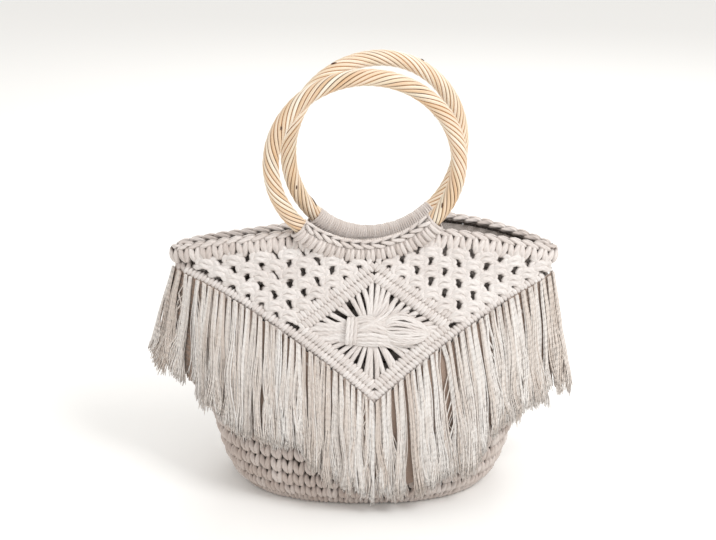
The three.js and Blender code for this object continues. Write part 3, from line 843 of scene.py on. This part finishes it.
def front_depth(x, z):
    """Depth of the bag's front face behind a place in the front view."""
    low, high = np.zeros(np.shape(x)), np.ones(np.shape(x))
    for _ in range(22):
        middle = (low + high) / 2
        under = height_at(x, middle) < z
        low, high = np.where(under, middle, low), np.where(under, high, middle)
    half_width = MOUTH_HALF_WIDTH * column_at(WALL_LEVELS, 1, low)
    half_depth = BELLY_HALF_DEPTH * column_at(WALL_LEVELS, 2, low)
    square = column_at(WALL_LEVELS, 3, low)
    sine = np.sqrt(np.maximum(0, 1 - np.abs(x / half_width) ** square))
    return turn_at(x, -sine, low) - half_depth * sine ** (2 / square)


def on_front(x, z, out):
    """Point at a distance out of the front face at a place in the front view."""
    x, z, out = np.broadcast_arrays(np.asarray(x, float), np.asarray(z, float), out)
    step = 1.0
    y = front_depth(x, z)
    slope_x = (front_depth(x + step, z) - front_depth(x - step, z)) / (2 * step)
    slope_z = (front_depth(x, z + step) - front_depth(x, z - step)) / (2 * step)
    normal = unit(np.stack([slope_x, -np.ones_like(y), slope_z], -1))
    return np.stack([x, y, z], -1) + normal * out[..., None], normal


def edge_slope(distance):
    """Slope of the V's line at a distance to the side of its point."""
    bow = PANEL_BOW * (1 - 2 * np.abs(distance) / PANEL_HALF_WIDTH)
    return PANEL_RISE / PANEL_HALF_WIDTH * (1 + bow)


upright = math.hypot(1, edge_slope(0))
half_rib = RIB_WIDTH / 2 * upright
rib_gap = CLEARANCE * upright
rib_pitch = 2 * half_rib + rib_gap
chevron_slope = (DIAMOND_TOP - edge_height(DIAMOND_HALF_WIDTH) - rib_pitch) / DIAMOND_HALF_WIDTH
chevron_top = DIAMOND_TOP + rib_pitch


def chevron_height(distance):
    """Height of the rib over the diamond at a distance to the side of its peak."""
    return chevron_top - chevron_slope * np.abs(distance)


# One knot: two bars that cross its face, a loop at each side, and doubled cords that leave it
# slantwise. Each row is across, up, out and radius.
KNOT_STRANDS = [
    [(-7.2, -2.4, -1.2, 1.9), (-5.6, 0.6, 1.0, 2.4), (-2.6, 2.7, 2.0, 2.6), (1.4, 2.9, 2.5, 2.7),
     (4.6, 1.4, 1.6, 2.5), (6.6, -1.2, -1.2, 1.8)],
    [(7.2, 2.2, -1.2, 1.9), (5.6, -0.6, 1.0, 2.4), (2.4, -1.6, 2.2, 2.7), (-1.6, -1.3, 2.7, 2.7),
     (-4.8, -2.8, 1.2, 2.4), (-6.6, -5.0, -1.2, 1.8)],
    [(-2.8, 5.0, -0.4, 1.9), (-5.4, 3.8, 1.2, 2.4), (-7.6, 0.6, 1.6, 2.5), (-6.6, -2.6, 0.8, 2.2),
     (-4.2, -4.8, -0.6, 1.7)],
    [(2.8, 5.2, -0.4, 1.9), (5.6, 3.6, 1.0, 2.4), (7.6, 0.4, 1.5, 2.5), (6.2, -2.8, 1.0, 2.2),
     (3.2, -5.0, -0.6, 1.7)],
    [(-0.6, 2.4, -0.6, 2.0), (-2.8, 4.8, 1.2, 2.5), (-5.6, 6.6, 1.2, 2.5), (-9.0, 8.2, -0.6, 2.0)],
    [(0.6, 2.4, -0.6, 2.0), (2.8, 4.8, 1.2, 2.5), (5.6, 6.6, 1.2, 2.5), (9.0, 8.2, -0.6, 2.0)],
    [(-1.2, -1.8, -0.6, 2.0), (-3.6, -3.6, 1.1, 2.5), (-6.6, -4.8, 1.3, 2.5), (-9.8, -5.8, -0.6, 2.0)],
    [(1.2, -1.8, -0.6, 2.0), (3.6, -3.6, 1.1, 2.5), (6.6, -4.8, 1.3, 2.5), (9.8, -5.8, -0.6, 2.0)],
]


def smooth_rows(rows, count):
    """More rows on a smooth curve through the rows of a table."""
    rows = np.asarray(rows, float)
    table = np.column_stack([np.linspace(0, 1, len(rows)), rows])
    place = np.linspace(0, 1, count)
    return np.stack([column_at(table, k, place) for k in range(1, table.shape[1])], -1)


def over_net(x, z):
    """How far a place lies over the V and the chevron."""
    distance = x - PANEL_SHIFT
    return z - np.maximum(edge_height(distance), chevron_height(distance)) - half_rib


def net_places(parity, side):
    """Places of the net's knots or of its gaps."""
    places = []
    for column in range(-14, 15):
        x = PANEL_SHIFT + column * GAP_COLUMN_PITCH
        if abs(x - PANEL_SHIFT) > PANEL_REACH - 3 or (x < PANEL_SHIFT) != (side < 0):
            continue
        top = height_at(x, 1.0) - GAP_FIRST_ROW
        z = top - ((column + parity) % 2) * GAP_ROW_PITCH + 2 * GAP_ROW_PITCH
        while z > PANEL_APEX_HEIGHT:
            if z < top + GAP_ROW_PITCH * 1.2 and over_net(x, z) > -1:
                places.append((x, z))
            z -= 2 * GAP_ROW_PITCH
    return np.array(places)


def knots(places):
    """Square knots at places of the front view."""
    strands = []
    turn = rng.normal(0, 0.16, (len(places), 1))
    mirror = np.where(rng.random((len(places), 1)) < 0.35, -1, 1)
    tone = np.clip(rng.normal(0.6, 0.2, len(places)), 0, 1)
    for rows in KNOT_STRANDS:
        across, up, out, radius = smooth_rows(rows, 2 * len(rows) - 1).T
        a, b = across * mirror, up + 0 * mirror
        a, b = a * np.cos(turn) - b * np.sin(turn), a * np.sin(turn) + b * np.cos(turn)
        wander = rng.normal(0, 0.3, (len(places), 1))
        points, normals = on_front(places[:, :1] + a + wander, places[:, 1:] + b, out)
        kept = ~near_sleeve(points[:, len(across) // 2], SLEEVE_RADIUS + 1)
        kept &= over_net(points[:, len(across) // 2, 0], points[:, len(across) // 2, 2]) > -2
        # Painted shade: the strands are darker where they dip in under the others.
        shade = np.clip(0.3 + 0.34 * out + 0 * a, 0.1, 1)
        strands.append(tubes(points[kept], radius, normals[kept], 7, tone[kept], shade[kept]))
    return strands


def net_backing(side):
    """Cords at the back of the net, as a sheet pierced by its gaps and drawn in painted shade."""
    x = PANEL_SHIFT + side * np.linspace(0, PANEL_REACH - 2, 190)
    share = np.linspace(0, 1, 100)[:, None]
    distance = x - PANEL_SHIFT
    low = np.maximum(edge_height(distance), chevron_height(distance))
    z = low + (height_at(x, 1.0) - low) * share
    grid, _ = on_front(np.broadcast_to(x, z.shape), z, -NET_SINK)
    gaps = net_places(0, side)
    middle = (grid[:-1, :-1] + grid[1:, 1:]) / 2
    reach = np.abs(middle[..., None, 0] - gaps[:, 0]) + np.abs(middle[..., None, 2] - gaps[:, 1])
    open_cell = (reach.min(-1) < GAP_REACH) | near_sleeve(middle, SLEEVE_RADIUS - 1)
    return sheet_of(grid[:, ::side], NET_SHADE, ~open_cell[:, ::side])


for name, side, node in (("net_knots_left", -1, "net_left"), ("net_knots_right", 1, "net_right")):
    piece_of(name, knots(net_places(1, side)) + [net_backing(side)], knotted_cord,
             "knotted_cord", node)

# Ribs of the panel. Each is a carrier cord wrapped with pairs of half hitches, which lie side
# by side as short plump strokes across it. One follows the V, one frames the diamond, and one
# runs over the diamond's two upper sides.

HITCH_PITCH = 3.1
RIB_CORE = 2.9
# One half hitch: along as a share of the pitch, across as a share of half the rib, out, radius.
HITCH = np.array([
    (-0.32, -1.2, -2.0, 1.3),
    (-0.24, -0.92, 0.6, 1.65),
    (-0.08, -0.34, 2.0, 1.75),
    (0.08, 0.34, 2.1, 1.75),
    (0.24, 0.92, 0.6, 1.65),
    (0.32, 1.2, -2.0, 1.3),
])
HITCH_SHADE = np.array([0.15, 0.8, 1, 1, 0.8, 0.15])


def hitches(line):
    """Half hitches along a line of the front view."""
    line = np.asarray(line, float)
    length = lengths_along(line, 0)
    count = max(round(length[-1] / HITCH_PITCH), 2)
    place = (np.arange(count) + 0.5) * length[-1] / count
    x, z = line_places(line, line, place).T
    way = unit(line_places(line, line, place + 0.5) - line_places(line, line, place - 0.5))
    lean = np.where(way[:, 0] * way[:, 1] > 0, -1, 1)
    along = HITCH[:, 0] * HITCH_PITCH * lean[:, None]
    across = HITCH[:, 1] * RIB_WIDTH / 2
    points, normals = on_front(
        x[:, None] + way[:, :1] * along - way[:, 1:] * across,
        z[:, None] + way[:, 1:] * along + way[:, :1] * across,
        HITCH[:, 2],
    )
    size = rng.normal(1, 0.04, (count, 1))
    # The carrier cord is drawn with painted shade, a little darker than the hitches over it.
    core, core_normals = on_front(line[:, 0], line[:, 1], 0.0)
    return [
        tubes(points, HITCH[:, 3] * size, normals, 8, None, HITCH_SHADE),
        tubes(core[None], RIB_CORE, core_normals[None], 8, 0.5, 0.7),
    ]


def v_line(start, end, lift):
    """Line of the front view along the V, lifted by an amount."""
    distance = np.linspace(start, end, 60)
    return np.stack([PANEL_SHIFT + distance, edge_height(distance) + lift], -1)


chevron_reach = DIAMOND_HALF_WIDTH + rib_pitch / (chevron_slope + edge_slope(DIAMOND_HALF_WIDTH))


def slant(side, reach, top):
    """Line of the front view down one upper side of the diamond, from a height over its middle."""
    distance = np.linspace(side * reach, 0, 40)
    return np.stack([PANEL_SHIFT + distance, top - chevron_slope * np.abs(distance)], -1)


edge_hitches, diamond_hitches, chevron_hitches = [], [], []
for side in (-1, 1):
    end = side * PANEL_REACH - PANEL_SHIFT
    edge_hitches += hitches(v_line(end, 0, 0))
    diamond_hitches += hitches(v_line(side * DIAMOND_HALF_WIDTH, 0, rib_pitch))
    diamond_hitches += hitches(slant(side, DIAMOND_HALF_WIDTH, DIAMOND_TOP))
    chevron_hitches += hitches(slant(side, chevron_reach, chevron_top))
piece_of("rib_of_v", edge_hitches, knotted_cord, "knotted_cord", "edge_rib")
piece_of("rib_of_diamond", diamond_hitches, knotted_cord, "knotted_cord", "diamond_rib")
piece_of("rib_over_diamond", chevron_hitches, knotted_cord, "knotted_cord", "chevron_rib")

# Flower in the diamond. Loose cords fan from the diamond's four sides to its middle, where one
# big knot gathers them: a swollen body of cords from the left, one upright turn round them,
# and a leaf-shaped bow of cords that closes in the right-hand corner.

flower_z = (edge_height(0) + rib_pitch + DIAMOND_TOP) / 2
flower_half = DIAMOND_TOP - flower_z
FAN_CORDS = 10
FAN_RADIUS = 1.75


def flower_cords(cords, radius, shade=1.0):
    """Tubes through lists of places in the flower's own middle, in the front view."""
    x, z, out = (np.array([cord[k] for cord in cords]) for k in range(3))
    points, normals = on_front(PANEL_SHIFT + x, flower_z + z, out)
    return tubes(points, radius, normals, 8, None, shade)


def sweep(rows):
    """Places of one cord of the flower on a smooth curve through rows of across, up and out."""
    return smooth_rows(rows, 13).T


fan = []
for side_x, side_z in ((-1, 1), (1, 1), (1, -1), (-1, -1)):
    for k in range(FAN_CORDS):
        part = (k + 0.5) / FAN_CORDS + rng.normal(0, 0.011)
        tip_x, tip_z = side_x * (DIAMOND_HALF_WIDTH - 3) * part, side_z * (flower_half - 2) * (1 - part)
        turn = math.atan2(tip_z * 1.6, tip_x)
        root_x, root_z = -2 + 12 * math.cos(turn), 6 * math.sin(turn)
        share = np.linspace(0, 1, 9)
        bow = rng.normal(0, 0.8) * np.sin(math.pi * share)
        x = root_x + (tip_x - root_x) * share + bow
        z = root_z + (tip_z - root_z) * share + bow
        out = -1.2 + 3.0 * (1 - share ** 3) + rng.normal(0, 0.5) * (1 - share)
        fan.append((x, z, out))
fan_share = np.linspace(0, 1, 9)
# The fan cords are painted darker towards their tips, as shade where they sink under the ribs.
flower = [flower_cords(fan, FAN_RADIUS * (0.88 + 0.34 * fan_share), 1.2 - 0.6 * fan_share ** 4)]

# Cords that come from the left corner, pass under the band and swell to the body.
body = []
for k in range(9):
    rim = math.sin(math.pi * ((k + 0.5) / 9 - 0.5))
    crown = math.sqrt(1 - rim * rim)
    body.append(sweep([
        (-50 + 3 * crown, rim * 2.6, -0.8), (-36, rim * 5.4, 0.6), (-20, rim * 6.2, 2.0 + 2 * crown),
        (-12, rim * 9.4 + 0.8, 2.4 + 5 * crown), (-2, rim * 9.6 + 1.4 * crown, 3.4 + 5.6 * crown),
        (9, rim * 7.6 - 1.5, 3 + 4.6 * crown), (16, rim * 5.5 - 2, 1.0 + crown),
    ]))
flower.append(flower_cords(body, 1.75))

# Cords that cross the body slantwise, from the upper right and to the lower right.
cross = []
for k in range(5):
    lift = 2.6 * k
    cross.append(sweep([
        (33 - 5.5 * k, 11 + 3.4 * k, -0.6), (21 - 3 * k, 8.5 + 1.8 * k, 3.0),
        (8 - 2 * k, 5.5 + 0.6 * k, 7.0),
        (-5 - k, -0.5 + 0.5 * lift, 8.8), (-14, -6.5 + lift, 4.6),
    ]))
    cross.append(sweep([
        (38 - 4 * k, -7 - 2.2 * k, -0.6), (24 - 2.5 * k, -7.6 - 0.9 * k, 3.0),
        (10 - 2 * k, -6.2 - 0.4 * k, 6.4),
        (-3 - k, -4.4 + 0.4 * lift, 7.6), (-14, -3.5 + 0.6 * lift, 4.4),
    ]))
flower.append(flower_cords(cross, 1.5))

# The bow at the right, shaped like a leaf, of finer cords.
bow = []
for k in range(13):
    rim = math.sin(math.pi * ((k + 0.5) / 13 - 0.5))
    crown = math.sqrt(1 - rim * rim)
    stray = rng.normal(0, 0.5, 3)
    bow.append(sweep([
        (6 + 2 * crown, rim * 2.6 + 1.4, 5.2 + 2 * crown),
        (13, rim * 8.4 + 1.8 + stray[0], 5.6 + 3.2 * crown),
        (23, rim * 10.4 + 1.2 + stray[1], 5.4 + 3.6 * crown),
        (34, rim * 7.4 - 0.6 + stray[2], 4.0 + 2.4 * crown),
        (43 + 2 * crown, rim * 2.4 - 1.6, 0.8),
    ]))
flower.append(flower_cords(bow, 1.3))

# The upright band that gathers the body.
band = []
for k in range(3):
    turn = np.linspace(-0.6 * math.pi, 0.6 * math.pi, 15)
    x = -21 + 2.9 * k + 0.8 * np.sin(turn)
    z = 0.6 + 9.0 * np.sin(turn)
    out = 0.6 + 7.4 * np.cos(turn / 1.25)
    band.append((x, z, out))
flower.append(flower_cords(band, 1.75))

piece_of("flower_of_cords", flower, knotted_cord, "knotted_cord", "flower_knot")

# Fringe. The ends of the panel's cords hang from the V, first as separate cords and then
# combed out to loose yarn that lies on the bag's belly and hangs free past it.
# Each cord is four plies of fine waving strands, over a dark sheet of painted shade.

FRINGE_LENGTH = 100
FRINGE_STANDOFF = 1.4
FRINGE_PITCH = 6.2
PLIES = 4
# Strands in one ply. They are drawn thicker than loose cotton, so that they show.
YARNS = 14
YARN_RADIUS = 0.46
YARN_STATIONS = 12
FRINGE_ROWS = 24
# Share of the V, from its point, with a sheet of painted shade under the yarn. Past it yarn hangs
# behind the locks, painted dark as shade on the face that looks out.
BACKED = 0.78
BACK_YARNS = 26

# From the V's point to each end: place as a share of the way, length, and lean along X.
LEFT_FRINGE = np.array([
    (0, 0.8, 0), (0.2, 0.92, 0.01), (0.38, 0.86, 0.02), (0.58, 0.99, 0.01), (0.8, 0.98, -0.04),
    (0.9, 0.9, -0.13), (1, 0.79, -0.27),
])
RIGHT_FRINGE = np.array([
    (0, 0.8, 0), (0.15, 0.97, 0.06), (0.45, 1.08, 0.1), (0.6, 0.95, 0.08), (0.8, 0.96, 0.1),
    (1, 1.05, 0.17),
])

fringe_yarn = cotton(
    "combed_cotton_yarn", ("#8A6B57", "#DACBBF", "#FDFBF9"), 5, 0.5, 0.95, 0.35, 0.25
)


def edge_point(angle):
    """Point of the V's line on the wall at an angle round it."""
    low, high = np.zeros(np.shape(angle)), np.ones(np.shape(angle))
    for _ in range(24):
        middle = (low + high) / 2
        point = wall_skin(angle, middle)
        under = point[..., 2] < edge_height(point[..., 0] - PANEL_SHIFT)
        low, high = np.where(under, middle, low), np.where(under, high, middle)
    return wall_skin(angle, (low + high) / 2)


def curtain(side, table):
    """Heads of the fringe along the V, the way out there, and how far out the bag's face lies
    under every row of it."""
    angles = np.linspace(-math.pi, 0, 721)
    points = edge_point(angles)
    apex = angles[np.argmin(np.abs(points[:, 0] - PANEL_SHIFT) + 1e3 * (points[:, 1] > 0))]
    points = edge_point(np.linspace(apex, 0 if side > 0 else -math.pi, 400))
    length = lengths_along(points, 0)
    share = np.linspace(0, 1, 160)
    head = line_places(points, points, share * length[-1])
    low = (head[:, 2] - RIM_RISE * 0.4) / WALL_TOP
    half_width = MOUTH_HALF_WIDTH * column_at(WALL_LEVELS, 1, low)
    half_depth = BELLY_HALF_DEPTH * column_at(WALL_LEVELS, 2, low)
    square = column_at(WALL_LEVELS, 3, low)
    outward = unit(np.stack([
        signed_power(head[:, 0] / half_width, square - 1) / half_width,
        signed_power(np.minimum(head[:, 1], 0) / half_depth, square - 1) / half_depth,
        0 * low,
    ], -1))
    head[:, 2] -= half_rib + rib_gap
    long = FRINGE_LENGTH * column_at(table, 1, share)
    lean = column_at(table, 2, share)
    down = np.linspace(0, 1, FRINGE_ROWS)
    place = head[:, None] + np.stack([
        (lean * long)[:, None] * down, 0 * down * long[:, None], -long[:, None] * down,
    ], -1)
    near, far = np.zeros(place.shape[:2]), np.full(place.shape[:2], float(BELLY_HALF_DEPTH))
    for _ in range(22):
        middle = (near + far) / 2
        point = place + outward[:, None] * middle[..., None]
        inside = front_depth(point[..., 0], point[..., 2]) < point[..., 1]
        near, far = np.where(inside, middle, near), np.where(inside, far, middle)
    out = np.maximum.accumulate(near, axis=1)
    return {"share": share, "head": head, "outward": outward, "long": long, "lean": lean,
            "out": out, "span": length[-1]}


def hang(fall, share, down, out):
    """Points of the fringe by share along the V, share down it, and distance out of the bag."""
    share, down, out = np.broadcast_arrays(share, down, out)
    column = np.clip(share, 0, 1) * (len(fall["share"]) - 1)
    i = np.clip(column.astype(int), 0, len(fall["share"]) - 2)
    s = (column - i)[..., None]
    pick = {
        key: fall[key][i] * (1 - s) + fall[key][i + 1] * s for key in ("head", "outward")
    }
    s = s[..., 0]
    long = fall["long"][i] * (1 - s) + fall["long"][i + 1] * s
    lean = fall["lean"][i] * (1 - s) + fall["lean"][i + 1] * s
    row = np.clip(down, 0, 1) * (FRINGE_ROWS - 1)
    j = np.clip(row.astype(int), 0, FRINGE_ROWS - 2)
    t = row - j
    face = (
        (fall["out"][i, j] * (1 - t) + fall["out"][i, j + 1] * t) * (1 - s)
        + (fall["out"][i + 1, j] * (1 - t) + fall["out"][i + 1, j + 1] * t) * s
    )
    drop = np.stack([lean * long * down, 0 * down, -long * down], -1)
    outward = unit(pick["outward"])
    return pick["head"] + drop + outward * (face + FRINGE_STANDOFF + out)[..., None], outward


def parted(share, down, partings):
    """How far the yarn is pushed aside at the partings of the fringe."""
    push = 0 * share * down
    for place, width, top, bottom in partings:
        away = (share - place) / width
        open_part = np.clip((down - top) / 0.08, 0, 1) * np.clip((bottom - down) / 0.25, 0, 1)
        push = push + width * np.sign(away) * np.exp(-(away / 2.2) ** 2) * open_part
    return push


def fringe(side, table, partings):
    """Cords and combed yarn of one half of the fringe, over a sheet of painted shade, with yarn behind
    its loose ends painted dark as shade on the face that looks out.
    """
    fall = curtain(side, table)
    cords = round(fall["span"] / FRINGE_PITCH)
    share = (np.arange(cords) + 0.5) / cords
    own = np.clip(rng.normal(0.99, 0.035, cords), 0.9, 1.06)
    drift = rng.normal(0, 0.2, cords) + 0.35 * np.sin(np.arange(cords) * 1.1 + side)
    tone = np.clip(rng.normal(0.55, 0.22, cords), 0, 1)
    plies = cords * PLIES
    cord = np.repeat(np.arange(cords), PLIES)
    ply_place = rng.uniform(-0.5, 0.5, plies)
    ply_depth = rng.random(plies)
    ply_length = own[cord] * np.clip(rng.normal(0.985, 0.03, plies), 0.88, 1.05)
    ply_tone = np.clip(tone[cord] + rng.normal(0, 0.25, plies), 0, 1)
    ply_wave = rng.uniform(0.2, 0.62, plies)
    ply_bend = rng.uniform(4, 10, plies)
    ply_start = rng.uniform(0, TURN, plies)
    count = plies * YARNS
    ply = np.repeat(np.arange(plies), YARNS)
    own_cord = cord[ply]
    d = np.linspace(0, 1, YARN_STATIONS) ** 0.9
    d = d - 0.03 * (1 - d)
    long = ply_length[ply] * np.clip(rng.normal(0.99, 0.016, count), 0.9, 1.03)
    stray = rng.random(count) < 0.03
    long = np.where(stray, long * 1.05, long)[:, None]
    spread = rng.normal(0, 1, count)[:, None]
    depth = rng.random(count)[:, None]
    loose = np.clip(d, 0, 1)
    full = 1 + 0.45 * np.clip((share[own_cord][:, None] - BACKED) / (1 - BACKED), 0, 1)
    width = (0.3 + 0.62 * loose ** 0.7) * full
    wave = (ply_wave[ply][:, None] * np.sin(d * ply_bend[ply][:, None] + ply_start[ply][:, None])
            + 0.08 * np.sin(d * rng.uniform(8, 18, (count, 1)) + rng.uniform(0, TURN, (count, 1))))
    across = (
        drift[own_cord][:, None] * loose
        + ply_place[ply][:, None] * width * 1.25
        + spread * (0.1 + 0.16 * loose)
        + wave * loose
    ) / cords
    place = share[own_cord][:, None] + across
    place = place + parted(place, d * long, partings)
    round_out = np.sqrt(np.clip(1 - (ply_place[ply] * 1.7) ** 2, 0.05, 1))[:, None]
    out = 1.1 + (2.4 * round_out * (0.35 + 0.65 * ply_depth[ply][:, None]) + 1.2 * depth) * (
        0.75 + 0.25 * loose) + (1.6 * depth + 2.0 * ply_depth[ply][:, None]) * loose
    points, normals = hang(fall, place, d * long, out)
    ends = np.array([1.0] * (YARN_STATIONS - 1) + [0.55])
    radii = YARN_RADIUS * rng.uniform(0.8, 1.3, (count, 1)) * ends
    # Painted shade: yarn that lies nearer the bag is darker, and so are the edges of each cord just
    # under the rib.
    shade = 0.4 + 0.45 * ply_depth[ply][:, None] + 0.4 * depth + 0.1 * round_out
    edge = np.abs(ply_place[ply][:, None] + 0.12 * spread)
    shade = shade * (1 - np.clip(edge - 0.3, 0, 0.3) * 1.6 * (1 - loose) ** 2) + 0 * d
    yarn_tone = np.clip(ply_tone[ply] + rng.normal(0, 0.18, count), 0, 1)
    parts = [tubes(points, radii, normals, 3, yarn_tone, np.clip(shade, 0, 1))]
    # A sheet of painted shade under the yarn, dark brown where the bag would show between the locks.
    under = np.linspace(0, 0.88, 20)
    grid, _ = hang(fall, np.linspace(0, BACKED, cords * 6)[None, :], under[:, None], 1.5)
    parts.append(sheet_of(grid if side > 0 else grid[:, ::-1], 0.3, tone=0.3))
    # Yarn behind the loose ends, its normals turned in so that the face that looks out is painted dark
    # as shade between the locks and the face behind stays pale.
    behind = round(cords * (1 - BACKED) * BACK_YARNS)
    place = rng.uniform(BACKED - 0.04, 0.995, (behind, 1)) + rng.normal(0, 0.006, (behind, 1)) * d
    points, normals = hang(fall, place, d * rng.uniform(0.8, 0.96, (behind, 1)), 0.8)
    parts.append(tubes(points, 1.3 * YARN_RADIUS, -normals, 3, rng.uniform(0, 0.6, behind), 0.85))
    return parts


# Partings of the fringe: place along the V, half width, and where each opens and closes.
LEFT_PARTINGS = [(0.93, 0.008, 0.05, 0.6), (0.85, 0.006, 0.0, 0.4), (0.05, 0.008, 0.05, 0.5)]
RIGHT_PARTINGS = [(0.37, 0.014, 0.0, 0.75), (0.1, 0.008, 0.05, 0.6), (0.62, 0.008, 0.1, 0.5)]

for name, side, table, partings, node in (
    ("fringe_yarn_left", -1, LEFT_FRINGE, LEFT_PARTINGS, "fringe_left"),
    ("fringe_yarn_right", 1, RIGHT_FRINGE, RIGHT_PARTINGS, "fringe_right"),
):
    piece_of(name, fringe(side, table, partings), fringe_yarn, "fringe_yarn", node)

# Setting: a plain pale floor and soft studio light, with the camera at the photo's angle.
# The lens and distance are the ones that the two rings in the photo gave.

CAMERA_PLACE = (-0.005, -0.9867, 0.5441)
CAMERA_AIM = (-0.005, 0, 0.1834)
CAMERA_LENS = 63.83

camera_data = bpy.data.cameras.new("camera")
camera_data.lens = CAMERA_LENS
camera_data.sensor_width = 36
camera = bpy.data.objects.new("camera", camera_data)
bpy.context.scene.collection.objects.link(camera)
camera.location = CAMERA_PLACE
camera.rotation_euler = (Vector(CAMERA_AIM) - Vector(CAMERA_PLACE)).to_track_quat("-Z", "Y").to_euler()
bpy.context.scene.camera = camera

floor_mesh = bpy.data.meshes.new("studio_floor")
FLOOR_SIZE = 20
corners = [(x * FLOOR_SIZE, y * FLOOR_SIZE, 0) for x, y in ((-1, -1), (1, -1), (1, 1), (-1, 1))]
floor_mesh.from_pydata(corners, [], [(0, 1, 2, 3)])
studio_paper = bpy.data.materials.new("matt_white_paper")
studio_paper.use_nodes = True
studio_paper.node_tree.nodes.clear()
paper = add(studio_paper.node_tree, "ShaderNodeBsdfPrincipled", {
    "Base Color": linear("#F7F6F4"), "Roughness": 0.9, "Specular IOR Level": 0.2,
})
add(studio_paper.node_tree, "ShaderNodeOutputMaterial", {"Surface": paper.outputs[0]})
floor_mesh.materials.append(studio_paper)
floor = bpy.data.objects.new("studio_floor", floor_mesh)
bpy.context.scene.collection.objects.link(floor)

world = bpy.data.worlds.new("studio")
world.use_nodes = True
world.node_tree.nodes.clear()
sky = add(world.node_tree, "ShaderNodeBackground", {"Color": linear("#FBFAF8"), "Strength": 0.92})
add(world.node_tree, "ShaderNodeOutputWorld", {"Surface": sky.outputs[0]})
bpy.context.scene.world = world

# Name, place, size and power of each soft light.
for name, place, size, power in (
    ("key_light", (1.0, -0.9, 1.6), 0.7, 18),
    ("fill_light", (-1.4, -1.0, 0.8), 1.4, 2),
    ("back_light", (0.2, 1.4, 1.3), 1.2, 7),
):
    light_data = bpy.data.lights.new(name, "AREA")
    light_data.size = size
    light_data.energy = power
    light = bpy.data.objects.new(name, light_data)
    bpy.context.scene.collection.objects.link(light)
    light.location = place
    light.rotation_euler = (Vector(CAMERA_AIM) - Vector(place)).to_track_quat("-Z", "Y").to_euler()

bpy.context.scene.view_settings.view_transform = "Standard"
